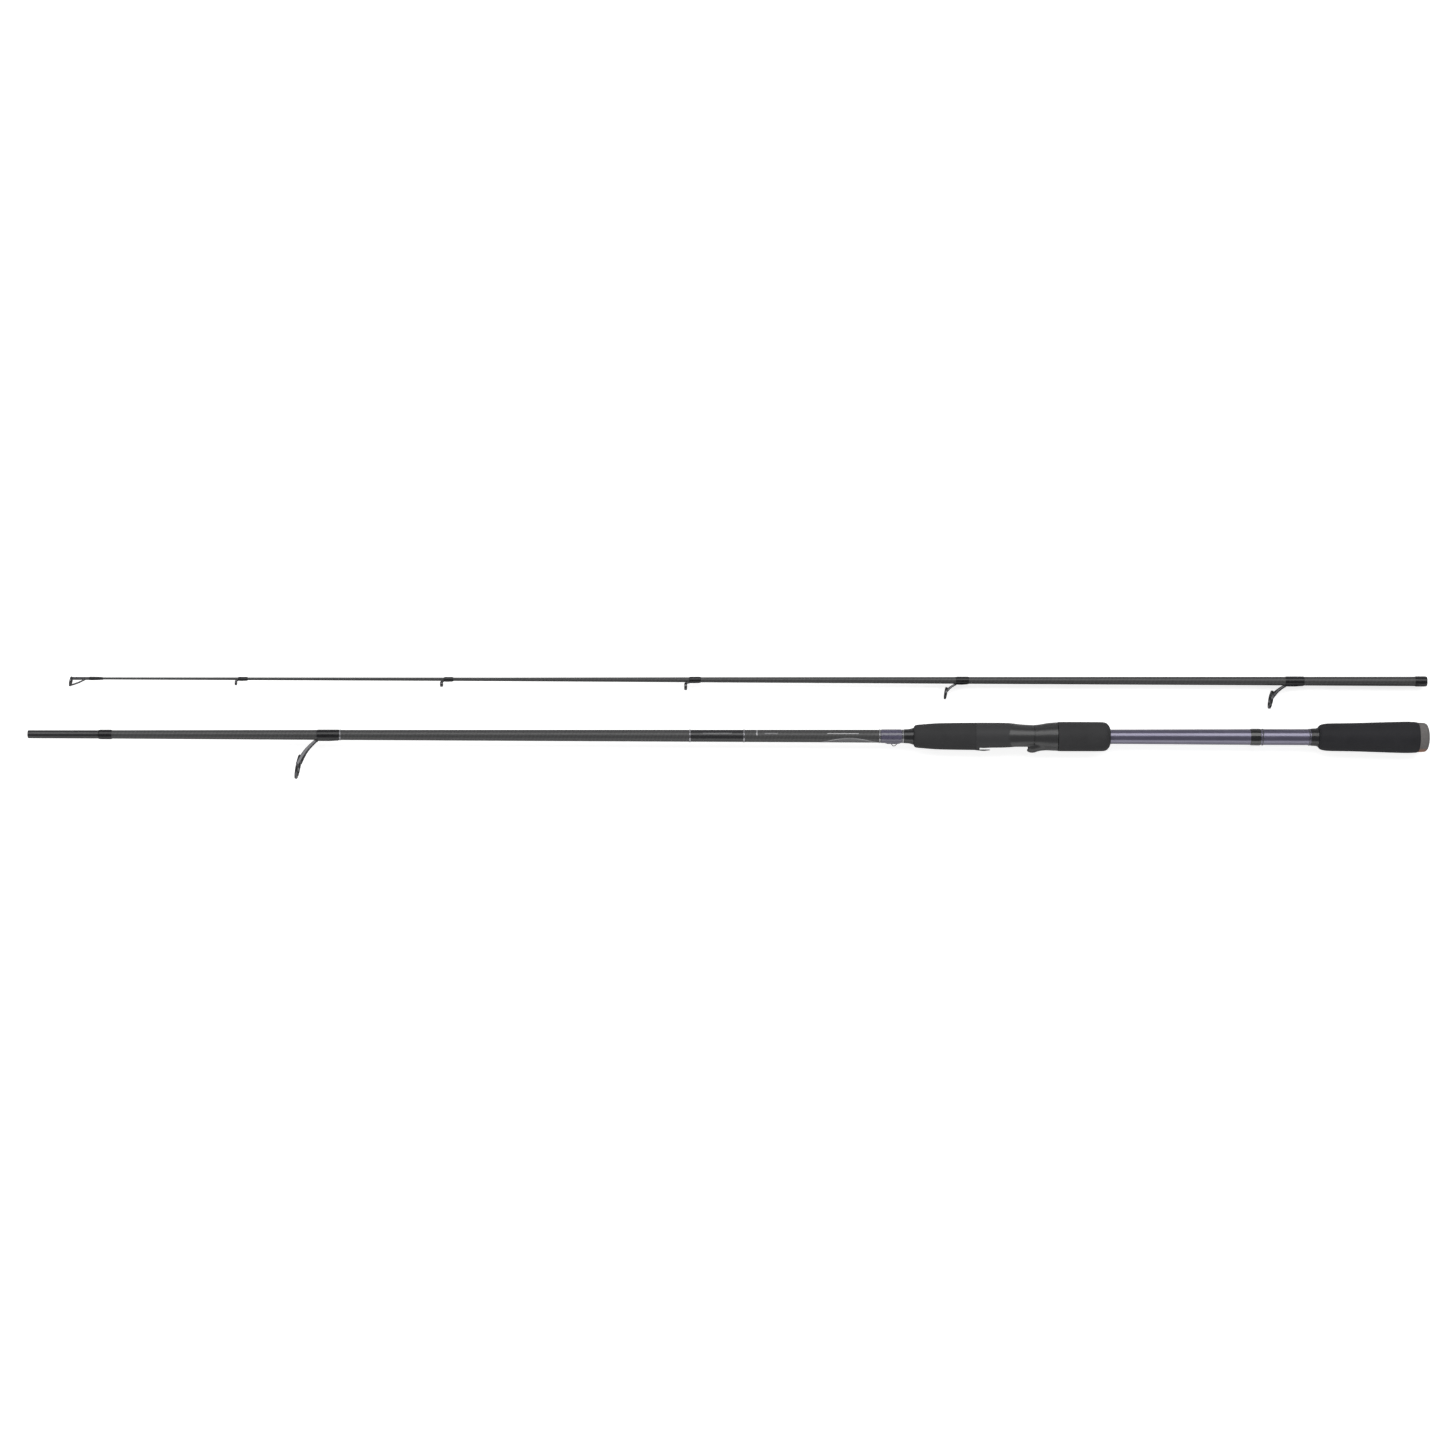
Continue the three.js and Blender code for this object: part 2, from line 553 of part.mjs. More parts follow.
// The origin is the middle of the base of the whole object's bounding box.
function spinningRod() {
  const rod = new THREE.Group();
  const butt = buttSection();
  const tip = tipSection();
  butt.position.set(0, 0, BUTT_HEIGHT);
  tip.position.set(0, SECTION_SPACING, TIP_HEIGHT);
  rod.add(butt, tip);
  const bounds = new THREE.Box3().setFromObject(rod, true);
  const middle = bounds.getCenter(new THREE.Vector3());
  rod.position.set(-middle.x, -middle.y, -bounds.min.z);
  rod.updateMatrixWorld(true);
  return rod;
}

export default spinningRod();
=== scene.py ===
"""Looks of a two-piece spinning rod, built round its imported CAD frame.

Lengths are millimetres until a point is placed. Along each section a station is the distance
from its butt-side end towards its tip. Depth is measured from the section's axis towards the
line guides (-Y), side is measured upwards (+Z), and an angle round the axis starts at the guides.
"""

import math

import bmesh
import bpy
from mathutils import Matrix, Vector


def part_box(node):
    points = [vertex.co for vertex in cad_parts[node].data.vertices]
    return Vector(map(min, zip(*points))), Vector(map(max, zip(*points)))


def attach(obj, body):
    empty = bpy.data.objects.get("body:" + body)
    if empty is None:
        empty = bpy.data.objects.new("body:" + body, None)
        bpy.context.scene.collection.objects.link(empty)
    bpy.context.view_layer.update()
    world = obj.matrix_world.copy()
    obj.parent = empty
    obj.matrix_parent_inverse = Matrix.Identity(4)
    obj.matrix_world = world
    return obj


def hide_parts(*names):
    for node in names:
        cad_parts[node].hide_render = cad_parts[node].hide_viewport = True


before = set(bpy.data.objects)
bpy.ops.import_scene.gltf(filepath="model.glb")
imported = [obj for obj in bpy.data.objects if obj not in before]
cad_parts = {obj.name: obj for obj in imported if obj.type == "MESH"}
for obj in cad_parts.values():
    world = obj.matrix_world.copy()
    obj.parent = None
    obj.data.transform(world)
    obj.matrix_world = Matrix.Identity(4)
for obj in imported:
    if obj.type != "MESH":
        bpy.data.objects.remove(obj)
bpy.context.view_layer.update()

# ---------- driving dimensions ----------

MM = 0.001
TURN = 2 * math.pi

# Vertices round each kind of body.
HANDLE_SIDES = 128
BLANK_SIDES = 96
RING_SIDES = 96
WIRE_SIDES = 16

# Degrees from which an edge stays sharp, on plain and on wound pieces, and a corner is rounded.
SHARP_EDGE = 30
WOUND_EDGE = 60
ROUNDED_CORNER = 20

# The room between a sleeve and what it sits on.
GLUE_GAP = 0.05

# Outer radius of each blank, as (station, radius) where its taper changes.
BUTT_TAPER = [
    (0, 7.5), (150, 7.15), (282, 6.5), (489, 5.8), (739, 5.2), (1024, 4.4), (1186, 3.75),
    (1249, 3.65),
]
TIP_TAPER = [(0, 4.3), (63, 4.1), (364, 3.25), (632, 2.4), (828, 1.65), (1214, 1.0)]
BUTT_WALL = 1.15
TIP_WALL = 0.7
# A wall takes at most this share of its blank's radius.
MOST_WALL = 0.55
BLANK_STEP = 12
# The socket's bore at its mouth, and how much narrower it is at its end.
SOCKET_BORE = 3.85
SOCKET_DRAFT = 0.12

# Stations where the butt blank's finish changes.
PURPLE_END = 300
BAND_START = 610.2
BAND_END = 658.4
FERRULE_START = 1180

# How far each wrap stands off what it is wound on.
STOP_WRAP = 0.5
REAR_WRAP = 0.4
SOCKET_WRAP = 0.3
KEEPER_WRAP = 0.35
BIG_WRAP = 0.28
SMALL_WRAP = 0.45
# The length of a wrap's domed edge, and the share of its height where that edge starts.
WRAP_DOME = 1.8
WRAP_LIP = 0.12

TRIM_RINGS = 7
# The first trim rings, counted from the butt, lie behind the reel seat and are duller.
REAR_TRIMS = 2
TRIM_TURNS = 4
TRIM_VALLEY = 0.22
TRIM_RIDGE = 0.2

# Guide name: how far its ring leans forward in degrees, and how wide the ring is along the rod.
GUIDES = {
    "stripper": (10, 2.1), "guide_1": (10, 2.0), "guide_2": (9, 1.9),
    "guide_3": (1, 2.3), "guide_4": (0, 2.3), "guide_5": (0, 1.7),
}
# The largest ring radius of a small guide.
BIG_RING = 5
# Sizes that grow with the ring's radius, as (size at no radius, growth for each millimetre).
HOLDER_WALL = (0.35, 0.05)
INSERT_WALL = (0.3, 0.11)
LEG = (0.4, 0.08)
FOOT_WIDTH = (0.9, 0.2)
# These two are the foot's thickness.
BIG_FOOT = (0.3, 0.03)
SMALL_FOOT = (0.22, 0)
FRAME_VOXEL = (0.06, 0.011)
# How far the insert stands out of its holder at each side.
INSERT_PROUD = 0.15
# Where a leg joins the ring, in degrees from the ring's top.
BIG_LEG_REACH = 76
SMALL_LEG_REACH = 30
# A leg's half width and half thickness as shares of its size, and how much it widens.
LEG_WIDE = 1.15
LEG_THICK = 0.5
LEG_FLARE = 1.1
# Lengths of a foot's tail and of its stub before the wrap, and the tail end's share of its size.
FOOT_TAIL = 1.2
FOOT_STUB = 0.4
FOOT_TAIL_SIZE = 0.45

TIPTOP_TILT = 10
TIPTOP_WIDTH = 1.5
TIPTOP_TUBE = 1.42
TUBE_REAR = 1190
BRACE_REAR = 1199
BRACE_REACH = 150
TIPTOP_VOXEL = 0.09

SEAT_BORE = 7.4
BARREL_REAR = 290
SHOULDER = 351.8
SEAT_FRONT = 403.5
BARREL_RADIUS = 9.2
BARREL_FLAT = 8.9
BARREL_STEPS = 200
SHELL_STEPS = 90
RAIL_HALF_WIDTH = 8.5
# The shell's outer radius and the depth of the rails beside the deck, along a smooth curve.
SEAT_OUTSIDE = [
    (SHOULDER, 10.25), (357, 10.5), (364, 10.95), (370, 11.65), (378, 12.15), (390, 12.25),
    (SEAT_FRONT, 12.2),
]
RAIL_DEPTH = [
    (SHOULDER, 10.5), (360, 10.75), (372, 11.6), (384, 12.1), (391, 12.4), (396, 12.95),
    (400, 12.7), (SEAT_FRONT, 12.35),
]
DECK_DEPTH = 9.2
DECK_HALF_WIDTH = 7.2
OPEN_DEPTH = 20
# What is cut out of the seat, as (stations, depths, half width): the deck, the tray sunk into it,
# and the fixed hood's pocket.
SEAT_CUTS = [
    ((315, 391), (DECK_DEPTH, OPEN_DEPTH), DECK_HALF_WIDTH),
    ((358.8, 389.5), (DECK_DEPTH - 0.25, OPEN_DEPTH), DECK_HALF_WIDTH - 0.6),
    ((390, 400.5), (DECK_DEPTH, DECK_DEPTH + 2.5), DECK_HALF_WIDTH),
]
# The station where the seat's lacquer starts, and how far its border moves for each unit of side.
LACQUER_START = 366.5
LACQUER_LEAN = 0.66

THREAD_BORE = 9.35
THREAD_DEPTH = 0.45
THREAD_LEAD = 4.0
THREAD_STARTS = 2
# Half crest and flank of the thread, as shares of half its pitch.
THREAD_CREST = 0.3
THREAD_FLANK = 0.4
# The plain length between the thread and the shoulder, and the length of the thread's run-out.
THREAD_RELIEF = 1.5
THREAD_RUNOUT = 2

HOOD_REAR = 330.9
HOOD_FRONT = 357.3
HOOD_STEPS = 80
# Where the hood's bore widens to pass over the seat's shoulder.
HOOD_STEP = 351.3
HOOD_CLEARANCE = 10.95
HOOD_COLLAR = [
    (HOOD_REAR, 12.75), (332.6, 12.65), (335, 12.5), (338.5, 12.2), (341.5, 11.75), (344.5, 11.15),
    (348, 10.65), (351.3, 10.4), (HOOD_FRONT, 10.3),
]
HOOD_VISOR = [
    (HOOD_REAR, 11.6), (334, 12.1), (340, 12.3), (345.5, 12.75), (349, 13.6), (351.5, 14.4),
    (353.5, 14.5), (355.6, 14.2), (HOOD_FRONT, 13.2),
]
VISOR_HALF_WIDTH = 7.9
# Where the visor narrows at its front, over what length and by how much.
VISOR_TAPER = (354, 3.3, 0.7)
POCKET_HALF_WIDTH = 6.4
POCKET_FLOOR = 8.0
POCKET_SIDE = 0.6
POCKET_STEPS = 24
# The pocket's rear end, as (station, depth), and its depth at the hood's mouth.
POCKET_REAR = (343.5, 11.2)
POCKET_MOUTH = 13

# Outlines of the foam sleeves, as (station, radius): smooth outside, straight inside the nut.
FORE_GRIP = [
    (SEAT_FRONT + 0.03, 12.2), (412, 12.12), (420, 12.05), (436, 11.75), (444, 11.3), (450, 10.8),
    (456, 10.25), (458, 9.4), (459, 7.6),
]
REAR_GRIP = [
    (9.2, 13.2), (10.4, 13.6), (14, 13.9), (22, 14), (45, 13.35), (66, 12.7), (86, 12.4), (92, 12),
    (95.8, 11.1), (97.6, 9.6), (98, 8.6),
]
NUT_GRIP = [
    (283.7, 7.8), (284.3, 9.2), (285.2, 10.4), (286.6, 11.9), (289, 12.8), (294, 13.05),
    (310, 13.1), (326, 13.1), (330.4, 12.95),
]
NUT_GRIP_INSIDE = [(330.4, 11), (288.6, 11), (288.5, 7.3), (283.7, 7.3)]
# Check name: the station whose blank sets its bore, and its outline.
CHECKS = {
    "rear_check": (98, [(98.2, 8.5), (99, 8.45), (100, 7.95), (104, 7.75), (105, 7.6)]),
    "fore_check": (459, [(459.2, 7.5), (459.9, 7.45), (460.6, 7.1), (463, 6.5), (467.4, 6.25)]),
}
# The cap's dished end, and the curve from its rim to the grip.
CAP_DISH = [(0.5, 0), (0.45, 6)]
CAP_RIM = [(0, 8.6), (0.9, 11), (2.4, 12.5), (4.2, 13), (9, 13.2)]
# How far corners are rounded. The fore grip meets the seat with no seam.
SEAM_EDGE = 0.02
FOAM_EDGE = 0.4
CHECK_EDGE = 0.25
CAP_EDGE = 0.4
# Depths where the cap's painted copper reflection starts and is full, and how strong it is there.
PAINTED_REFLECTION_DEPTHS = (9.5, 12.6)
PAINTED_REFLECTION_STRENGTH = 0.8

KEEPER_WIRE = 0.35
# The keeper's loop, as (share of its length, share of its drop).
KEEPER_LOOP = [(0, 0), (0.18, 0), (0.28, 0.58), (0.42, 1), (0.55, 0.58), (0.65, 0), (1, 0)]

# The printed panel: stations, then its half height, that at its ends and its edges, in degrees.
PANEL = (489.8, 543)
PANEL_HALF = 62
PANEL_END = 4
PANEL_EDGE = 8
PRINT_LIFT = 0.05
EDGE_LIFT = 0.07
PRINT_STEPS = (48, 10)

# Half the floor's side in metres, the glow that only the camera sees, and the world's light.
FLOOR_HALF = 30.0
FLOOR_GLOW = 0.75
AMBIENT = 0.18
# Light name: its place, its size and its power in watts. Both face the middle of the rod.
LIGHTS = {
    "key_light": ((0, 0.95, 1.35), (4.0, 1.15), 40),
    "fill_light": ((0, -1.1, 0.36), (4.0, 0.7), 12),
}

# The camera's place, height over the rod and frame width there, in metres, and roll in degrees.
CAMERA_PLACE = (-0.0049, 0.0042)
CAMERA_HEIGHT = 3.0
FRAME_WIDTH = 1.2892
CAMERA_ROLL = 0.13

# Where most values of a noise, and of cells mixed with a noise, lie.
NOISE_SPREAD = (0.3, 0.7)
MIXED_SPREAD = (0.25, 0.75)
# Blender's wave texture repeats over this length at a scale of one.
WAVE_PERIOD = TURN / 20


class Section:
    """One half of the rod: its body, where its axis lies and how its blank tapers."""

    def __init__(self, body, axis_node, rear_node, taper):
        low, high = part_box(axis_node)
        self.body = body
        self.y = (low.y + high.y) / 2
        self.z = (low.z + high.z) / 2
        self.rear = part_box(rear_node)[1].x
        self.taper = taper

    def point(self, station, depth, side):
        return Vector((self.rear - station * MM, self.y - depth * MM, self.z + side * MM))

    def polar(self, station, radius, angle):
        return self.point(station, radius * math.cos(angle), radius * math.sin(angle))

    def radius(self, station):
        return level(self.taper, station)

    def span(self, node):
        low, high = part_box(node)
        return (self.rear - high.x) / MM, (self.rear - low.x) / MM


def level(table, position):
    """The value at a position in a table of (position, value), straight between its rows."""
    if position <= table[0][0]:
        return table[0][1]
    for (p0, v0), (p1, v1) in zip(table, table[1:]):
        if position <= p1:
            return v0 + (v1 - v0) * (position - p0) / (p1 - p0)
    return table[-1][1]


def ease(share):
    share = min(1.0, max(0.0, share))
    return share * share * (3 - 2 * share)


BUTT = Section("butt_section", "butt_blank", "butt_cap", BUTT_TAPER)
TIP = Section("tip_section", "ferrule_socket", "ferrule_socket", TIP_TAPER)

# ---------- finishes ----------


class Finish:
    """A material made of nodes round one Principled shader."""

    def __init__(self, name, colour, roughness, **constants):
        self.material = bpy.data.materials.new(name)
        self.material.use_nodes = True
        self.tree = self.material.node_tree
        self.shader = self.tree.nodes["Principled BSDF"]
        self.colour = colour
        self.shader.inputs["Base Color"].default_value = (*colour, 1)
        self.shader.inputs["Roughness"].default_value = roughness
        for socket, value in constants.items():
            self.shader.inputs[socket.replace("_", " ")].default_value = value
        self.place = self.node("TexCoord").outputs["Object"]

    def node(self, kind, inputs=None, **settings):
        made = self.tree.nodes.new(f"ShaderNode{kind}")
        for name, value in settings.items():
            setattr(made, name, value)
        for name, value in (inputs or {}).items():
            self.feed(made.inputs[name], value)
        return made

    def feed(self, socket, value):
        if isinstance(value, bpy.types.NodeSocket):
            self.tree.links.new(value, socket)
        else:
            socket.default_value = value

    def math(self, operation, *values):
        made = self.node("Math", dict(enumerate(values)), operation=operation)
        return made.outputs[0]

    def noise(self, size, detail=3, stretch=(1, 1, 1)):
        """Noise whose grains are about size millimetres wide, longer along each axis by stretch."""
        scale = tuple(1 / (size * MM * s) for s in stretch)
        spot = self.node("Mapping", {"Vector": self.place, "Scale": scale})
        inputs = {"Vector": spot.outputs[0], "Scale": 1.0, "Detail": detail}
        return self.node("TexNoise", inputs).outputs["Fac"]

    def cells(self, size):
        """Cells about size millimetres wide."""
        scale = (1 / (size * MM),) * 3
        spot = self.node("Mapping", {"Vector": self.place, "Scale": scale})
        return self.node("TexVoronoi", {"Vector": spot.outputs[0], "Scale": 1.0}).outputs

    def lines(self, pitch, lean=0.0):
        """Parallel lines across the section, pitch millimetres apart, turned by lean radians."""
        turned = self.node("Mapping", {"Vector": self.place, "Rotation": (0, 0, lean)})
        inputs = {"Vector": turned.outputs[0], "Scale": WAVE_PERIOD / (pitch * MM)}
        return self.node("TexWave", inputs, bands_direction="X").outputs["Fac"]

    def ramp(self, value, low, high, to_low=0.0, to_high=1.0):
        names = ["Value", "From Min", "From Max", "To Min", "To Max"]
        inputs = dict(zip(names, [value, low, high, to_low, to_high]))
        return self.node("MapRange", inputs).outputs[0]

    def sum(self, first, second, share):
        """The first value times share plus the second times the rest."""
        rest = self.math("MULTIPLY", second, 1 - share)
        return self.math("ADD", self.math("MULTIPLY", first, share), rest)

    def mix(self, share, first, second):
        made = self.node("Mix", data_type="RGBA")
        self.feed(made.inputs[0], share)
        for socket, colour in ((6, first), (7, second)):
            shown = colour if isinstance(colour, bpy.types.NodeSocket) else (*colour, 1)
            self.feed(made.inputs[socket], shown)
        return made.outputs[2]

    def shades(self, share, dark, light):
        """Colours between dark and light times the finish's own colour."""
        first, second = (tuple(c * k for c in self.colour) for k in (dark, light))
        return self.mix(share, first, second)

    def paint(self, colour):
        self.feed(self.shader.inputs["Base Color"], colour)

    def rough(self, share, low, high):
        self.feed(self.shader.inputs["Roughness"], self.ramp(share, *NOISE_SPREAD, low, high))

    def bump(self, height, strength, depth):
        inputs = {"Height": height, "Strength": strength, "Distance": depth * MM}
        self.feed(self.shader.inputs["Normal"], self.node("Bump", inputs).outputs[0])


def carbon(name, colour, roughness, coat):
    """Lengthwise carbon fibres under a clear coat, with the faint spiral of the wrapping tape."""
    made = Finish(name, colour, roughness, Coat_Weight=coat, Coat_Roughness=0.15,
                  Specular_IOR_Level=0.3)
    fibres = made.noise(0.12, detail=4, stretch=(60, 1, 1))
    tape = made.lines(3.2, lean=0.35)
    share = made.sum(fibres, tape, 0.8)
    made.paint(made.shades(made.ramp(share, *NOISE_SPREAD), dark=0.8, light=1.2))
    made.rough(made.noise(6, detail=2), low=roughness * 0.9, high=roughness * 1.15)
    made.bump(tape, strength=0.12, depth=0.02)
    return made


def metallic_paint(name, colour, flake):
    """Lacquer with fine metal flakes under a clear coat."""
    made = Finish(name, colour, 0.34, Metallic=0.65, Coat_Weight=1.0, Coat_Roughness=0.08)
    sparkle = made.cells(0.12)["Distance"]
    depth = made.noise(9, detail=2, stretch=(4, 1, 1))
    share = made.sum(sparkle, depth, 0.6)
    made.paint(made.mix(made.ramp(share, *MIXED_SPREAD), colour, flake))
    made.rough(made.noise(0.4, detail=2), low=0.28, high=0.38)
    made.bump(sparkle, strength=0.05, depth=0.01)
    return made


def thread(name, colour, coat=1.0):
    """Turns of winding thread lying side by side under epoxy."""
    made = Finish(name, colour, 0.3, Coat_Weight=coat, Coat_Roughness=0.05, Specular_IOR_Level=0.3)
    turns = made.lines(0.28)
    uneven = made.noise(1.4)
    made.paint(made.shades(made.math("MULTIPLY", turns, uneven), dark=0.6, light=2.2))
    made.rough(uneven, low=0.24, high=0.4)
    made.bump(turns, strength=0.15, depth=0.03)
    return made


def metal(name, colour, roughness):
    made = Finish(name, colour, roughness, Metallic=1.0)
    worn = made.noise(0.5, detail=4, stretch=(3, 1, 1))
    made.paint(made.shades(worn, dark=0.82, light=1.12))
    made.rough(worn, low=roughness * 0.75, high=roughness * 1.3)
    made.bump(made.noise(0.25, detail=2), strength=0.06, depth=0.01)
    return made


def foam_finish(name, colour):
    """Closed-cell EVA: a dull skin full of fine pores."""
    made = Finish(name, colour, 0.55, Specular_IOR_Level=0.08)
    pores = made.cells(0.5)["Distance"]
    fine = made.noise(0.3, detail=4)
    handled = made.noise(14)
    share = made.sum(fine, handled, 0.6)
    made.paint(made.shades(made.ramp(share, *NOISE_SPREAD), dark=0.82, light=1.2))
    made.rough(handled, low=0.52, high=0.62)
    made.bump(made.math("ADD", pores, fine), strength=0.3, depth=0.06)
    return made


def seat_finish():
    """Soft-touch shell that is lacquered on the waist, behind a curved border."""
    made = Finish("reel_seat", (0.044, 0.044, 0.046), 0.5, Specular_IOR_Level=0.15,
                  Coat_Roughness=0.28)
    parts = made.node("SeparateXYZ", {"Vector": made.place}).outputs
    side = made.math("ABSOLUTE", made.math("SUBTRACT", parts["Z"], BUTT.z))
    along = made.math("ADD", parts["X"], made.math("MULTIPLY", side, LACQUER_LEAN))
    border = BUTT.point(LACQUER_START, 0, 0).x
    gloss = made.ramp(along, border - 0.4 * MM, border + 0.4 * MM)
    grain = made.noise(0.35)
    soft = made.shades(grain, dark=0.9, light=1.15)
    made.paint(made.mix(gloss, soft, (0.028, 0.028, 0.029)))
    made.feed(made.shader.inputs["Coat Weight"], made.math("MULTIPLY", gloss, 0.85))
    made.rough(grain, low=0.46, high=0.56)
    made.bump(grain, strength=0.08, depth=0.02)
    return made


def gloss_plastic(name, colour, roughness):
    """Moulded plastic with a faint swirl and a slightly uneven face."""
    made = Finish(name, colour, roughness)
    swirl = made.noise(3, detail=4)
    made.paint(made.shades(swirl, dark=0.88, light=1.12))
    made.rough(made.noise(0.8), low=roughness * 0.85, high=roughness * 1.25)
    made.bump(made.noise(5, detail=2), strength=0.05, depth=0.03)
    return made


def ceramic_finish():
    made = Finish("ring_ceramic", (0.03, 0.031, 0.033), 0.1, Coat_Weight=0.6, Coat_Roughness=0.04)
    made.paint(made.shades(made.noise(0.3, detail=4), dark=0.8, light=1.3))
    made.rough(made.noise(0.6), low=0.08, high=0.16)
    made.bump(made.noise(0.2, detail=2), strength=0.04, depth=0.005)
    return made


def cap_finish():
    """Pressed cork and rubber in warm grey, with a painted copper reflection on the guides' side."""
    made = Finish("butt_cap_compound", (0.15, 0.142, 0.138), 0.8, Specular_IOR_Level=0.2)
    crumbs = made.cells(1.1)["Distance"]
    fine = made.noise(0.35, detail=4)
    share = made.sum(crumbs, fine, 0.5)
    grey = made.shades(made.ramp(share, *MIXED_SPREAD), dark=0.9, light=1.1)
    parts = made.node("SeparateXYZ", {"Vector": made.place}).outputs
    # Copper colour mixed in towards the guides' side: a painted reflection.
    start, full = (BUTT.y - depth * MM for depth in PAINTED_REFLECTION_DEPTHS)
    painted_reflection_share = made.ramp(parts["Y"], start, full, 0, PAINTED_REFLECTION_STRENGTH)
    made.paint(made.mix(painted_reflection_share, grey, (0.36, 0.16, 0.09)))
    made.rough(fine, low=0.72, high=0.88)
    made.bump(share, strength=0.22, depth=0.08)
    return made


def bushing_finish():
    made = Finish("arbor_bushing", (0.27, 0.25, 0.2), 0.9)
    made.paint(made.shades(made.noise(0.8, detail=4), dark=0.75, light=1.2))
    made.bump(made.cells(0.9)["Distance"], strength=0.4, depth=0.1)
    return made


def print_finish(name, colour, metallic):
    made = Finish(name, colour, 0.3, Metallic=metallic, Coat_Weight=0.6, Coat_Roughness=0.08)
    made.paint(made.shades(made.noise(0.5), dark=0.88, light=1.1))
    made.rough(made.noise(1.5, detail=2), low=0.25, high=0.35)
    return made


CARBON = carbon("carbon_blank", (0.052, 0.052, 0.053), 0.48, 0.25)
CARBON_DARK = carbon("carbon_polished", (0.018, 0.018, 0.02), 0.36, 0.45)
PURPLE = metallic_paint("purple_lacquer", (0.1, 0.092, 0.145), (0.17, 0.16, 0.23))
THREAD = thread("black_thread", (0.009, 0.009, 0.0105), 0.15)
REAR_THREAD = thread("black_thread_rear", (0.009, 0.009, 0.011))
PURPLE_THREAD = thread("purple_thread", (0.078, 0.071, 0.115))
SILVER = metal("silver_trim", (0.62, 0.62, 0.64), 0.28)
DULL_SILVER = metal("silver_trim_rear", (0.3, 0.3, 0.33), 0.34)
GUNMETAL = metal("guide_gunmetal", (0.095, 0.095, 0.1), 0.3)
CERAMIC = ceramic_finish()
FOAM = foam_finish("eva_foam", (0.04, 0.04, 0.0415))
# The rear grip's foam is the same EVA as the fore grip's, painted darker and a little bluer as
# painted shade.
SHADED_REAR_FOAM = foam_finish("eva_foam_rear_painted_shade", (0.0265, 0.0265, 0.0295))
SEAT = seat_finish()
HOOD = gloss_plastic("hood_gloss", (0.029, 0.029, 0.03), 0.3)
RING_BLACK = gloss_plastic("check_black", (0.016, 0.016, 0.018), 0.22)
CAP = cap_finish()
BUSHING = bushing_finish()
PALE_PRINT = print_finish("pale_print", (0.28, 0.28, 0.29), 0.2)
GREY_PRINT = print_finish("grey_print", (0.085, 0.085, 0.09), 0.4)

# ---------- outlines ----------


def curve(points, steps=6):
    """A smooth line through the points, passing each of them."""
    out = []
    last = len(points) - 1
    for i in range(last):
        p0, p1, p2, p3 = (Vector(points[min(max(k, 0), last)]) for k in range(i - 1, i + 3))
        for step in range(steps):
            t = step / steps
            square = (2 * p0 - 5 * p1 + 4 * p2 - p3) * t**2
            cube = (3 * (p1 - p2) + p3 - p0) * t**3
            out.append(tuple(p1 + ((p2 - p0) * t + square + cube) / 2))
    return out + [tuple(points[-1])]


def soften(outline, reach, closed=True, steps=4):
    """Rounds each corner of an outline, from reach before it to reach after it."""
    out = []
    count = len(outline)
    for i, corner in enumerate(outline):
        if not closed and i in (0, count - 1):
            out.append(corner)
            continue
        here = Vector(corner)
        back = Vector(outline[i - 1]) - here
        on = Vector(outline[(i + 1) % count]) - here
        touching = min(back.length, on.length) < 1e-6
        if touching or (-back).angle(on) < math.radians(ROUNDED_CORNER):
            out.append(corner)
            continue
        a, b = (here + way.normalized() * min(reach, way.length * 0.45) for way in (back, on))
        for step in range(steps + 1):
            t = step / steps
            out.append(tuple(a * (1 - t) ** 2 + here * 2 * t * (1 - t) + b * t**2))
    return out


def sleeve(outside, bore):
    """A closed outline: the outside forwards, then a straight bore back."""
    return [*outside, (outside[-1][0], bore), (outside[0][0], bore)]


# ---------- meshes ----------


def bridge(first, second):
    """Faces between two rings of vertex numbers; a ring of one is a pole."""
    count = max(len(first), len(second))
    faces = []
    for i in range(count):
        j = (i + 1) % count
        if len(first) == 1:
            faces.append((first[0], second[j], second[i]))
        elif len(second) == 1:
            faces.append((first[i], first[j], second[0]))
        else:
            faces.append((first[i], first[j], second[j], second[i]))
    return faces


def skin(rings, loop):
    """Vertices and faces through rings of points; loop joins the last ring to the first."""
    vertices, numbers = [], []
    for ring in rings:
        numbers.append(list(range(len(vertices), len(vertices) + len(ring))))
        vertices.extend(ring)
    pairs = list(zip(numbers, numbers[1:]))
    if loop:
        pairs.append((numbers[-1], numbers[0]))
    return vertices, [face for pair in pairs for face in bridge(*pair)]


def turned(place, outline, sides=HANDLE_SIDES, poles=False):
    """A body of revolution, or anything that place(along, out, angle) makes of the outline."""
    rings = []
    for i, (along, out) in enumerate(outline):
        if poles and i in (0, len(outline) - 1):
            rings.append([place(along, out, 0)])
        else:
            rings.append([place(along, out, TURN * k / sides) for k in range(sides)])
    return skin(rings, not poles)


def together(*shapes):
    vertices, faces = [], []
    for points, sides in shapes:
        faces += [tuple(number + len(vertices) for number in face) for face in sides]
        vertices += points
    return vertices, faces


def added(name, data):
    made = bpy.data.objects.new(name, data)
    bpy.context.scene.collection.objects.link(made)
    return made


def raw_object(name, shape, sharp=SHARP_EDGE):
    """A mesh object with no finish yet."""
    mesh = bpy.data.meshes.new(name)
    mesh.from_pydata([tuple(v) for v in shape[0]], [], shape[1])
    work = bmesh.new()
    work.from_mesh(mesh)
    bmesh.ops.recalc_face_normals(work, faces=work.faces)
    work.to_mesh(mesh)
    work.free()
    mesh.shade_smooth()
    mesh.set_sharp_from_angle(angle=math.radians(sharp))
    return added(name, mesh)


def finished(made, finish, body, nodes):
    """Gives a mesh its finish, body and slot, and the nodes that it replaces."""
    made.data.materials.append(finish.material)
    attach(made, body)
    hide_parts(*nodes)


def piece(name, shape, finish, body, nodes=(), sharp=SHARP_EDGE):
    finished(raw_object(name, shape, sharp), finish, body, nodes)


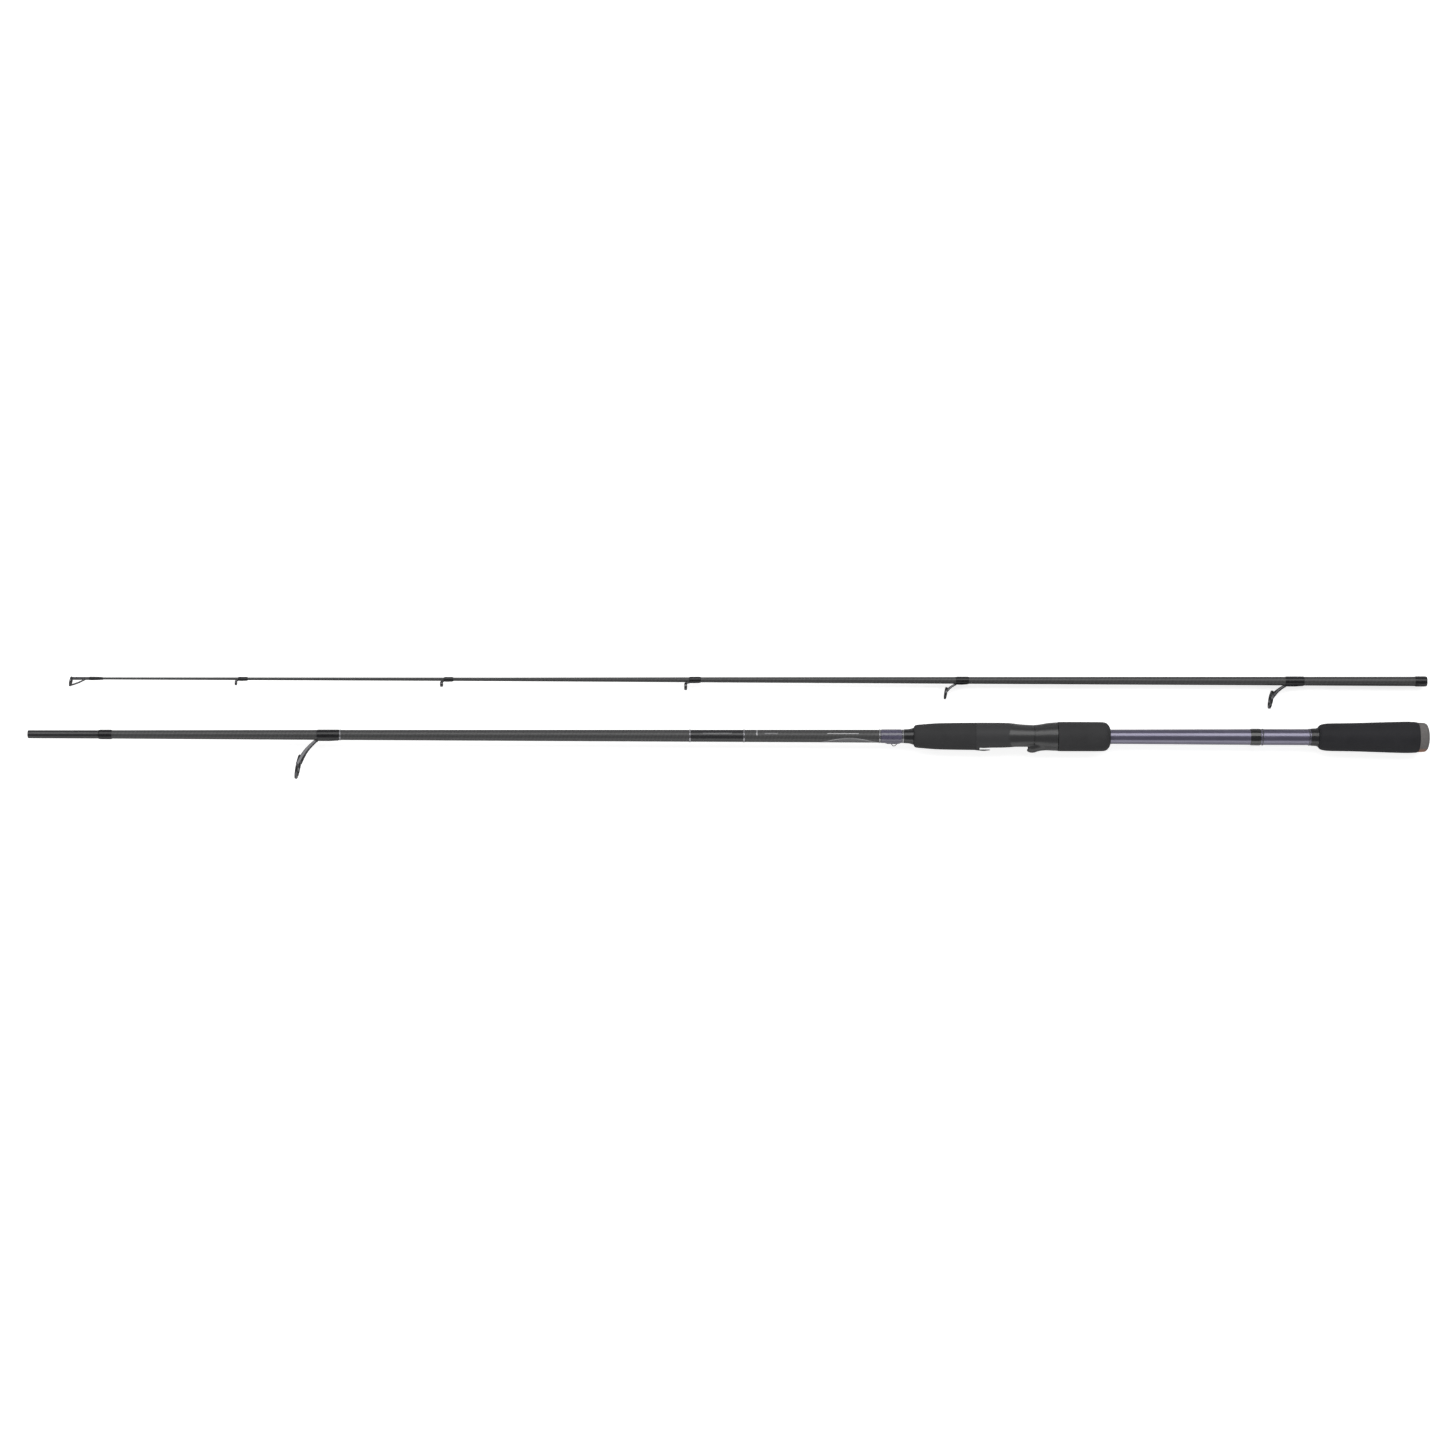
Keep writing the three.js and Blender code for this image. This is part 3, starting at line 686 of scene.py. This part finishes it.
def carved(name, shape, cutters):
    """The shape with the cutters' room taken out of it, as one mesh."""
    made = raw_object(name, shape)
    tools = [raw_object(f"{name}_cutter_{i}", cutter) for i, cutter in enumerate(cutters)]
    for tool in tools:
        cut = made.modifiers.new("cut", "BOOLEAN")
        cut.operation = "DIFFERENCE"
        cut.solver = "EXACT"
        cut.object = tool
    graph = bpy.context.evaluated_depsgraph_get()
    settled = bpy.data.meshes.new_from_object(made.evaluated_get(graph))
    made.modifiers.clear()
    made.data = settled
    settled.materials.clear()
    settled.shade_smooth()
    settled.set_sharp_from_angle(angle=math.radians(SHARP_EDGE))
    for tool in tools:
        bpy.data.objects.remove(tool)
    return made


def block(section, stations, depths, half):
    """A box between two stations and two depths, as wide as half to each side."""
    corners = [section.point(s, d, side) for s in stations for d in depths for side in (-half, half)]
    faces = [(0, 1, 3, 2), (4, 6, 7, 5), (0, 4, 5, 1), (2, 3, 7, 6), (0, 2, 6, 4), (1, 5, 7, 3)]
    return corners, faces


# ---------- blanks ----------


def blank_outline(section, start, end, wall):
    """A closed outline of a tapered tube."""
    count = max(2, round((end - start) / BLANK_STEP))
    stations = sorted({start + (end - start) * i / count for i in range(count + 1)}
                      | {s for s, _ in section.taper if start < s < end})
    outside = [(s, section.radius(s)) for s in stations]
    inside = [(s, r - min(wall, r * MOST_WALL)) for s, r in reversed(outside)]
    return outside + inside


def butt_blank():
    """The butt section's blank, as a row of zones that differ in their finish."""
    rear, front = BUTT.span("butt_blank")
    zones = [
        ("butt_blank_rear", rear, PURPLE_END, PURPLE),
        ("butt_blank_lower", PURPLE_END, BAND_START, CARBON),
        ("butt_blank_band", BAND_START, BAND_END, CARBON_DARK),
        ("butt_blank_upper", BAND_END, FERRULE_START, CARBON),
        ("male_ferrule", FERRULE_START, front, CARBON_DARK),
    ]
    for name, start, end, finish in zones:
        outline = blank_outline(BUTT, start + 0.01, end - 0.01, BUTT_WALL)
        if name == "male_ferrule":
            outline = soften(outline, 0.5)
        shape = turned(BUTT.polar, outline, BLANK_SIDES)
        piece(name, shape, finish, BUTT.body, ["butt_blank"])


def tip_blank():
    """Socket and tip blank in one taper, as the real blank is rolled."""
    _, front = TIP.span("tip_blank")
    outline = blank_outline(TIP, 0, front, TIP_WALL)
    _, socket_end = TIP.span("ferrule_socket")
    kept = [(s, r) for s, r in outline if not (r < TIP.radius(s) and s < socket_end)]
    bore = [(socket_end + 3, SOCKET_BORE - SOCKET_DRAFT), (0, SOCKET_BORE)]
    shape = turned(TIP.polar, soften(kept + bore, 0.3), BLANK_SIDES)
    piece("tip_blank_skin", shape, CARBON, TIP.body, ["tip_blank", "ferrule_socket"])


# ---------- wraps and trims ----------


def hull(angle, radius, half, depth):
    """Radius of a tight winding round a blank and a flat foot that lies under it."""
    if depth <= radius:
        return radius
    around = abs((angle + math.pi) % TURN - math.pi)
    corner = math.atan2(half, depth)
    touch = corner + math.acos(radius / math.hypot(half, depth))
    if around <= corner:
        return depth / math.cos(around)
    if around < touch:
        return radius / math.cos(touch - around)
    return radius


def winding(section, start, end, height, foot=None):
    """A domed sleeve of thread and epoxy that follows the blank, and the foot if there is one."""
    edge = min(WRAP_DOME, (end - start) * 0.25)

    def lift(station):
        near = min(station - start, end - station)
        dome = math.sqrt(1 - (1 - min(1, near / edge)) ** 2)
        return height * (WRAP_LIP + (1 - WRAP_LIP) * dome)

    def place(station, out, angle):
        inner = section.radius(station) + GLUE_GAP
        if foot:
            inner = hull(angle, inner, *foot(station))
        return section.polar(station, inner + out, angle)

    count = max(24, round((end - start) / 0.5))
    stations = [start + (end - start) * i / count for i in range(count + 1)]
    outline = [(s, lift(s)) for s in stations] + [(s, 0) for s in reversed(stations)]
    return turned(place, outline, BLANK_SIDES)


def plain_wrap(section, node, height, finish=THREAD):
    start, end = section.span(node)
    shape = winding(section, start, end, height)
    piece(f"{node}_turns", shape, finish, section.body, [node])


def trim_ring(number):
    """A few turns of metallic thread."""
    node = f"trim_ring_{number}"
    start, end = BUTT.span(node)
    count = TRIM_TURNS * 6
    outline = [(start, GLUE_GAP)]
    for i in range(count + 1):
        share = i / count
        ridge = abs(math.sin(math.pi * TRIM_TURNS * share))
        outline.append((start + (end - start) * share, TRIM_VALLEY + TRIM_RIDGE * ridge))
    outline.append((end, GLUE_GAP))

    def place(station, out, angle):
        return BUTT.polar(station, BUTT.radius(station) + out, angle)

    shape = turned(place, outline, BLANK_SIDES)
    finish = DULL_SILVER if number <= REAR_TRIMS else SILVER
    piece(f"{node}_turns", shape, finish, BUTT.body, [node], WOUND_EDGE)


# ---------- guides ----------


def loft(section, rings):
    """A closed body through rings of (station, depth, side) points, with a pole at each end."""
    caps = [[sum((Vector(p) for p in ring), Vector()) / len(ring)] for ring in (rings[0], rings[-1])]
    every = [caps[0], *rings, caps[1]]
    return skin([[section.point(*p) for p in ring] for ring in every], False)


def oval(centre, first, second, power):
    """A ring of points about centre; first and second are its half axes, power squares it off."""
    ring = []
    for i in range(WIRE_SIDES):
        turn = TURN * i / WIRE_SIDES
        c, s = math.cos(turn), math.sin(turn)
        reach = (abs(c) ** power + abs(s) ** power) ** (-1 / power)
        ring.append(tuple(Vector(centre) + first * (c * reach) + second * (s * reach)))
    return ring


def strip(section, path, wide, thick, flare=1.0):
    """A flattened rod along (station, depth, side) points, flare times as big at its end."""
    points = [Vector(p) for p in path]
    last = len(points) - 1
    rings = []
    for i, here in enumerate(points):
        way = (points[min(i + 1, last)] - points[max(i - 1, 0)]).normalized()
        side = (Vector((0, 0, 1)) - way * way.z).normalized()
        share = 1 + (flare - 1) * i / last
        rings.append(oval(here, way.cross(side) * wide * share, side * thick * share, 2.6))
    return loft(section, rings)


def grown(size, ring):
    """A guide's size that grows with its ring's radius."""
    start, growth = size
    return start + growth * ring


class Guide:
    """Sizes of one line guide, from its CAD nodes' boxes."""

    def __init__(self, name, section, tilt, width):
        self.name = name
        self.section = section
        self.tilt = math.radians(tilt)
        low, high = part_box(f"{name}_ring")
        middle = (low + high) / 2
        self.station = (section.rear - middle.x) / MM
        self.drop = (section.y - middle.y) / MM
        low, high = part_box(f"{name}_frame")
        self.ring = (high.z - low.z) / 2 / MM
        self.wall = grown(HOLDER_WALL, self.ring)
        self.big = self.ring > BIG_RING
        self.half_width = width / 2
        self.leg = grown(LEG, self.ring)

    def ring_place(self, along, out, angle):
        """A point of the tilted ring, along its own axis and out from it."""
        down = out * math.cos(angle)
        station = self.station + along * math.cos(self.tilt) + down * math.sin(self.tilt)
        depth = self.drop - along * math.sin(self.tilt) + down * math.cos(self.tilt)
        return self.section.point(station, depth, out * math.sin(angle))

    def holder(self):
        half = self.half_width
        inner = self.ring - self.wall
        outline = [(-half, self.ring), (half, self.ring), (half, inner), (-half, inner)]
        return turned(self.ring_place, soften(outline, 0.3 * half), RING_SIDES)

    def insert(self):
        outer = self.ring - self.wall - GLUE_GAP
        half_wall = grown(INSERT_WALL, self.ring) / 2
        half = self.half_width + INSERT_PROUD
        count = 20
        outline = []
        for i in range(count):
            around = TURN * i / count
            out = outer - half_wall + half_wall * math.sin(around)
            outline.append((half * math.cos(around), out))
        return turned(self.ring_place, outline, RING_SIDES)

    def rim(self, degrees, out):
        """The point of the ring's plane at an angle from its top, as (station, depth, side)."""
        angle = math.radians(degrees)
        up = out * math.cos(angle)
        station = self.station - up * math.sin(self.tilt)
        return station, self.drop - up * math.cos(self.tilt), out * math.sin(angle)


class Foot:
    """The flat foot of a guide, which lies on the blank under a wrap."""

    def __init__(self, guide):
        start, end = guide.section.span(f"{guide.name}_wrap")
        self.rear = start + FOOT_TAIL
        self.middle = (self.rear + end) / 2
        self.front = end + FOOT_STUB
        self.half = grown(FOOT_WIDTH, guide.ring) / 2
        self.thick = grown(BIG_FOOT if guide.big else SMALL_FOOT, guide.ring)
        self.top = guide.section.radius(self.rear) + GLUE_GAP

    def at(self, station):
        """Half width and lowest depth at a station; behind its rear end it sinks into the blank."""
        share = ease((station - self.rear) / (self.middle - self.rear))
        full = ease((station - self.rear) / FOOT_TAIL + 1)
        size = FOOT_TAIL_SIZE + (1 - FOOT_TAIL_SIZE) * share
        return self.half * size, self.top + full * self.thick * size - (1 - full)


def foot_shape(guide, foot):
    """The foot and a stub of it in front of the wrap, where the legs start."""
    count = 24
    nose = foot.front + 1.2 * guide.leg
    rings = []
    for i in range(count + 1):
        station = foot.rear + (nose - foot.rear) * i / count
        half, low = foot.at(station)
        centre = (station, (foot.top + low) / 2, 0)
        rings.append(oval(centre, Vector((0, (low - foot.top) / 2, 0)), Vector((0, 0, half)), 4.0))
    return loft(guide.section, rings)


def guide_frame(guide, foot):
    """Foot, two flat legs and holder ring of one stamping, run together by a fine remesh."""
    reach = BIG_LEG_REACH if guide.big else SMALL_LEG_REACH
    shapes = [foot_shape(guide, foot), guide.holder()]
    for side in (-1, 1):
        across = side * foot.half * 0.5
        start = Vector((foot.front - guide.leg, foot.top + foot.thick, across))
        bend = Vector((foot.front + guide.leg * 0.7, foot.top + foot.thick * 1.4, across))
        end = Vector(guide.rim(side * reach, guide.ring - guide.wall / 2))
        knee = bend.lerp(end, 0.45) + Vector((0.07 * guide.drop, 0, 0))
        path = curve([start, bend, knee, end], 8)
        wide, thick = guide.leg * LEG_WIDE, guide.leg * LEG_THICK
        shapes.append(strip(guide.section, path, wide, thick, LEG_FLARE))
    made = raw_object(f"{guide.name}_frame_stamped", together(*shapes))
    fuse(made, grown(FRAME_VOXEL, guide.ring))
    finished(made, GUNMETAL, guide.section.body, [f"{guide.name}_frame"])


def fuse(made, voxel):
    """Runs overlapping bodies into one skin with small fillets."""
    remesh = made.modifiers.new("fuse", "REMESH")
    remesh.mode = "VOXEL"
    remesh.voxel_size = voxel * MM
    remesh.use_smooth_shade = True
    smooth = made.modifiers.new("settle", "SMOOTH")
    smooth.factor = 0.5
    smooth.iterations = 4


def guide_set(name, section, tilt, width):
    """Frame, ceramic ring and wrap of one guide."""
    guide = Guide(name, section, tilt, width)
    foot = Foot(guide)
    guide_frame(guide, foot)
    ring = guide.insert()
    piece(f"{name}_ring_polished", ring, CERAMIC, section.body, [f"{name}_ring"])
    start, end = section.span(f"{name}_wrap")
    height = BIG_WRAP if guide.big else SMALL_WRAP
    shape = winding(section, start, end, height, foot.at)
    piece(f"{name}_wrap_turns", shape, THREAD, section.body, [f"{name}_wrap"], WOUND_EDGE)


def tiptop():
    """The tube that caps the tip, its tilted ring, the two braces under it and its wrap."""
    guide = Guide("tiptop", TIP, TIPTOP_TILT, TIPTOP_WIDTH)
    rear, front = TUBE_REAR, guide.station - 1
    bore = TIP.radius(rear) + GLUE_GAP
    outline = [
        (front - 3, 0), (front - 3, bore), (rear, bore), (rear, TIPTOP_TUBE - 0.12),
        (rear + 0.4, TIPTOP_TUBE), (front, TIPTOP_TUBE), (front + 1.2, TIPTOP_TUBE - 0.3),
        (front + 1.4, 0),
    ]
    shapes = [turned(TIP.polar, outline, RING_SIDES, poles=True), guide.holder()]
    for side in (-1, 1):
        end = Vector(guide.rim(side * BRACE_REACH, guide.ring - guide.wall / 2))
        start = Vector((BRACE_REAR, 0.9, side * 0.7))
        middle = start.lerp(end, 0.5) + Vector((0, 0.4, side * 0.4))
        shapes.append(strip(TIP, curve([start, middle, end], 8), 0.6, 0.4))
    made = raw_object("tiptop_frame_soldered", together(*shapes))
    fuse(made, TIPTOP_VOXEL)
    finished(made, GUNMETAL, TIP.body, ["tiptop_frame"])
    piece("tiptop_ring_polished", guide.insert(), CERAMIC, TIP.body, ["tiptop_ring"])
    shape = turned(TIP.polar, tiptop_wrap(bore), RING_SIDES)
    piece("tiptop_wrap_turns", shape, THREAD, TIP.body, ["tiptop_wrap"])


def tiptop_wrap(bore):
    """A closed outline that runs from the blank over the rear end of the tube."""
    start, end = TIP.span("tiptop_wrap")
    low = TIP.radius(start)
    outside = [
        (start, low + 0.1), (start + 1, low + 0.25), (TUBE_REAR - 1, TIPTOP_TUBE + 0.12),
        (end - 1.2, TIPTOP_TUBE + 0.2), (end, TIPTOP_TUBE + 0.08),
    ]
    inside = [
        (end, TIPTOP_TUBE + 0.02), (TUBE_REAR - 0.1, TIPTOP_TUBE + 0.02),
        (TUBE_REAR - 0.3, bore), (start, bore),
    ]
    return [*curve(outside, 5), *inside]


# ---------- handle ----------


def foam_grips():
    """The fore and rear grips, and the foam sleeve on the lock nut."""
    bore = BUTT.radius(0) + GLUE_GAP
    grips = {
        "fore_grip": (FORE_GRIP, FOAM, SEAM_EDGE),
        # The rear grip gets the darker foam that carries painted shade.
        "rear_grip": (REAR_GRIP, SHADED_REAR_FOAM, FOAM_EDGE),
    }
    for name, (outside, finish, edge) in grips.items():
        outline = soften(sleeve(curve(outside), bore), edge)
        shape = turned(BUTT.polar, outline)
        piece(f"{name}_foam", shape, finish, BUTT.body, [name])
    outline = soften([*curve(NUT_GRIP), *NUT_GRIP_INSIDE], FOAM_EDGE)
    shape = turned(BUTT.polar, outline)
    piece("nut_grip_foam", shape, FOAM, "nut", ["nut_grip"])


def checks():
    """The black winding checks, and the cap at the butt."""
    for name, (bore_station, outside) in CHECKS.items():
        bore = BUTT.radius(bore_station) + GLUE_GAP
        shape = turned(BUTT.polar, soften(sleeve(outside, bore), CHECK_EDGE))
        piece(f"{name}_gloss", shape, RING_BLACK, BUTT.body, [name])
    cap = [*CAP_DISH, *curve(CAP_RIM), (CAP_RIM[-1][0], 0)]
    outline = soften(cap, CAP_EDGE, closed=False)
    shape = turned(BUTT.polar, outline, poles=True)
    piece("butt_cap_compound", shape, CAP, BUTT.body, ["butt_cap"])


def squared(angle, depth, half, power):
    """Radius of a rounded rectangle on the guides' side of the axis."""
    c, s = math.cos(angle), abs(math.sin(angle))
    if c <= 0:
        return 0.0
    return ((c / depth) ** power + (s / half) ** power) ** (-1 / power)


def merged(first, second, blend=0.5):
    """The larger of two radii, with a small fillet where they cross."""
    gap = max(blend - abs(first - second), 0) / blend
    return max(first, second) + gap * gap * blend / 4


def barrel_radius(station, angle):
    """Radius of the threaded barrel, which has a flat on the guides' side."""
    turn = angle / TURN
    phase = (station + THREAD_LEAD * turn) / (THREAD_LEAD / THREAD_STARTS)
    wave = abs((phase % 1) - 0.5) * 2
    fade = ease((SHOULDER - THREAD_RELIEF - station) / THREAD_RUNOUT)
    radius = BARREL_RADIUS - THREAD_DEPTH * ease((wave - THREAD_CREST) / THREAD_FLANK) * fade
    facing = math.cos(angle)
    return min(radius, BARREL_FLAT / max(facing, 1e-6)) if facing > 0 else radius


def straight(start, end, steps, value):
    """An outline's points from start to end, all with one value."""
    return [(start + (end - start) * i / steps, value) for i in range(steps + 1)]


def seat_body():
    """Barrel, waist, rails beside the deck, and the fixed hood that runs into the fore grip."""
    shell, rail = curve(SEAT_OUTSIDE, 8), curve(RAIL_DEPTH, 8)

    def place(station, out, angle):
        if out < SEAT_BORE + 0.2:
            return BUTT.polar(station, out, angle)
        if station < SHOULDER:
            return BUTT.polar(station, barrel_radius(station, angle), angle)
        rails = squared(angle, level(rail, station), RAIL_HALF_WIDTH, 3.6)
        return BUTT.polar(station, merged(level(shell, station), rails), angle)

    outside = straight(BARREL_REAR, SHOULDER - 0.01, BARREL_STEPS, BARREL_RADIUS)
    outside += straight(SHOULDER, SEAT_FRONT, SHELL_STEPS, BARREL_RADIUS)
    shape = turned(place, sleeve(outside, SEAT_BORE))
    made = carved("seat_body_shell", shape, [block(BUTT, *cut) for cut in SEAT_CUTS])
    finished(made, SEAT, BUTT.body, ["seat_body"])


def moving_hood():
    """A flaring collar whose visor reaches forwards over the deck."""
    collar, visor = curve(HOOD_COLLAR), curve(HOOD_VISOR)
    taper_start, taper_length, narrower = VISOR_TAPER

    def place(station, out, angle):
        if not out:
            return BUTT.polar(station, 0, angle)
        half = VISOR_HALF_WIDTH - narrower * ease((station - taper_start) / taper_length)
        lip = squared(angle, level(visor, station), half, 3.0)
        return BUTT.polar(station, merged(level(collar, station), lip, 0.8), angle)

    outline = [(HOOD_REAR, 0), *straight(HOOD_REAR, HOOD_FRONT, HOOD_STEPS, 1), (HOOD_FRONT, 0)]
    shape = turned(place, outline, poles=True)
    step = [
        (HOOD_REAR - 1, 0), (HOOD_REAR - 1, THREAD_BORE), (HOOD_STEP, THREAD_BORE),
        (HOOD_STEP, HOOD_CLEARANCE), (HOOD_FRONT + 1, HOOD_CLEARANCE), (HOOD_FRONT + 1, 0),
    ]
    bore = turned(BUTT.polar, step, poles=True)
    ends = (POCKET_REAR, (HOOD_FRONT + 1, POCKET_MOUTH))
    pocket = loft(BUTT, [pocket_ring(station, depth) for station, depth in ends])
    made = carved("moving_hood_gloss", shape, [bore, pocket])
    finished(made, HOOD, "hood", ["moving_hood"])


def pocket_ring(station, depth):
    """The outline of the moving hood's pocket: flat at the axis' side, arched under the visor."""
    side_top = POCKET_FLOOR + POCKET_SIDE
    ring = [(station, POCKET_FLOOR, side * POCKET_HALF_WIDTH) for side in (-1, 1)]
    for i in range(POCKET_STEPS + 1):
        turn = math.pi * i / POCKET_STEPS
        arch_share = math.sin(turn) ** 0.7
        arch_depth = side_top + (depth - POCKET_FLOOR - POCKET_SIDE) * arch_share
        ring.append((station, arch_depth, POCKET_HALF_WIDTH * math.cos(turn)))
    return ring


def hook_keeper():
    """A wire loop whose feet run under a purple wrap."""
    low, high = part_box("hook_keeper")
    start, end = BUTT.span("hook_keeper")
    foot = (BUTT.y - high.y) / MM + KEEPER_WIRE
    drop = (high.y - low.y) / MM - 2 * KEEPER_WIRE
    path = curve([(start + (end - start) * s, foot + drop * d, 0) for s, d in KEEPER_LOOP], 8)
    shape = strip(BUTT, path, KEEPER_WIRE, KEEPER_WIRE)
    piece("hook_keeper_wire", shape, GUNMETAL, BUTT.body, ["hook_keeper"])

    def feet(station):
        inside = ease((station - start) / 1.2) * ease((end - station) / 1.2)
        return KEEPER_WIRE, (foot + KEEPER_WIRE) * inside

    shape = winding(BUTT, *BUTT.span("keeper_wrap"), KEEPER_WRAP, feet)
    piece("keeper_wrap_turns", shape, PURPLE_THREAD, BUTT.body, ["keeper_wrap"],
          WOUND_EDGE)


# ---------- printed marks ----------


def mark(name, finish, stations, angles, lift=PRINT_LIFT):
    """A thin printed patch on the butt blank; angles(share) gives its two edges in degrees."""
    start, end = stations
    along_steps, round_steps = PRINT_STEPS
    rings = []
    for i in range(along_steps + 1):
        share = i / along_steps
        station = start + (end - start) * share
        first, last = (math.radians(a) for a in angles(share))
        turns = [first + (last - first) * k / round_steps for k in range(round_steps + 1)]
        radius = BUTT.radius(station)
        ring = [BUTT.polar(station, radius + lift, a) for a in turns]
        ring += [BUTT.polar(station, radius + 0.01, a) for a in reversed(turns)]
        rings.append(ring)
    vertices, faces = skin(rings, False)
    count = len(rings[0])
    rear_end = tuple(range(count))
    front_end = tuple(reversed(range(len(vertices) - count, len(vertices))))
    shape = vertices, [*faces, rear_end, front_end]
    piece(name, shape, finish, BUTT.body)


def panel_half(share):
    """Half height of the lens-shaped panel at a share of its length, in degrees."""
    return PANEL_HALF * math.sin(math.pi * share) ** 0.8 + PANEL_END


def marks():
    """Plain stripes and one lens-shaped panel where the real rod carries its graphics."""
    mark("panel_lens", GREY_PRINT, PANEL, lambda share: (-panel_half(share), panel_half(share)))
    for side, name in ((1, "near"), (-1, "far")):

        def edge(share, side=side):
            inner = panel_half(share)
            return sorted((side * inner, side * (inner + PANEL_EDGE)))

        mark(f"panel_edge_{name}", PALE_PRINT, PANEL, edge, EDGE_LIFT)
    stripes = [
        ("tick_mark", PALE_PRINT, (598.1, 599.3), (95, 160)),
        ("band_stripe", GREY_PRINT, (621, 647), (111, 119)),
        ("size_stripe", GREY_PRINT, (580, 592), (108, 120)),
        ("name_stripe", PALE_PRINT, (508, 536), (110, 117)),
    ]
    for name, finish, stations, edges in stripes:
        mark(name, finish, stations, lambda share, edges=edges: edges)


# ---------- stage ----------


def soft_light(name, place, size, power):
    """A white area light that faces the middle of the rod."""
    lamp = bpy.data.lights.new(name, "AREA")
    lamp.shape = "RECTANGLE"
    lamp.size, lamp.size_y = size
    lamp.energy = power
    made = added(name, lamp)
    made.location = place
    made.rotation_mode = "QUATERNION"
    made.rotation_quaternion = (Vector() - Vector(place)).to_track_quat("-Z", "Y")
    made.visible_camera = False


def floor():
    """A pale floor that looks brighter to the camera than it lights the rod."""
    square = ((-1, -1), (1, -1), (1, 1), (-1, 1))
    corners = [Vector((x * FLOOR_HALF, y * FLOOR_HALF, 0)) for x, y in square]
    made = raw_object("floor", (corners, [(0, 1, 2, 3)]))
    paper = Finish("floor_paper", (0.72, 0.72, 0.72), 0.9, Specular_IOR_Level=0.1,
                   Emission_Color=(1, 1, 1, 1))
    paper.paint(paper.shades(paper.noise(300, detail=2), dark=0.985, light=1.0))
    seen = paper.node("LightPath").outputs["Is Camera Ray"]
    paper.feed(paper.shader.inputs["Emission Strength"], paper.math("MULTIPLY", seen, FLOOR_GLOW))
    made.data.materials.append(paper.material)


def backdrop():
    """A white world that is dim as a light."""
    world = bpy.data.worlds.new("studio")
    world.use_nodes = True
    tree = world.node_tree
    seen = tree.nodes.new("ShaderNodeLightPath").outputs["Is Camera Ray"]
    strength = tree.nodes.new("ShaderNodeMapRange")
    strength.inputs["To Min"].default_value = AMBIENT
    tree.links.new(seen, strength.inputs["Value"])
    tree.links.new(strength.outputs[0], tree.nodes["Background"].inputs["Strength"])
    tree.nodes["Background"].inputs["Color"].default_value = (1, 1, 1, 1)
    bpy.context.scene.world = world
    bpy.context.scene.view_settings.view_transform = "Standard"


def studio():
    """Floor, backdrop, a long soft light over the tip section's side and a weaker one opposite."""
    floor()
    backdrop()
    for name, (place, size, power) in LIGHTS.items():
        soft_light(name, place, size, power)


def camera():
    """Straight above the rod, with the frame as wide as the photograph's."""
    lens = bpy.data.cameras.new("camera")
    lens.lens = lens.sensor_width * CAMERA_HEIGHT / FRAME_WIDTH
    made = added("camera", lens)
    made.location = (*CAMERA_PLACE, BUTT.z + CAMERA_HEIGHT)
    made.rotation_euler.z = math.radians(CAMERA_ROLL)
    bpy.context.scene.camera = made


def handle():
    """The handle's pieces, and finishes for the CAD nodes that stay inside it."""
    foam_grips()
    checks()
    seat_body()
    moving_hood()
    hook_keeper()
    kept = {"seat_arbor_front": BUSHING, "seat_arbor_rear": BUSHING, "nut_core": HOOD}
    for node, finish in kept.items():
        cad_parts[node].material_slots[0].material = finish.material


def rod():
    butt_blank()
    tip_blank()
    handle()
    plain_wrap(BUTT, "ferrule_stop_wrap", STOP_WRAP)
    plain_wrap(BUTT, "rear_wrap", REAR_WRAP, REAR_THREAD)
    plain_wrap(TIP, "socket_wrap", SOCKET_WRAP)
    for number in range(1, TRIM_RINGS + 1):
        trim_ring(number)
    for name, (tilt, width) in GUIDES.items():
        guide_set(name, BUTT if name == "stripper" else TIP, tilt, width)
    tiptop()
    marks()


camera()
studio()
rod()
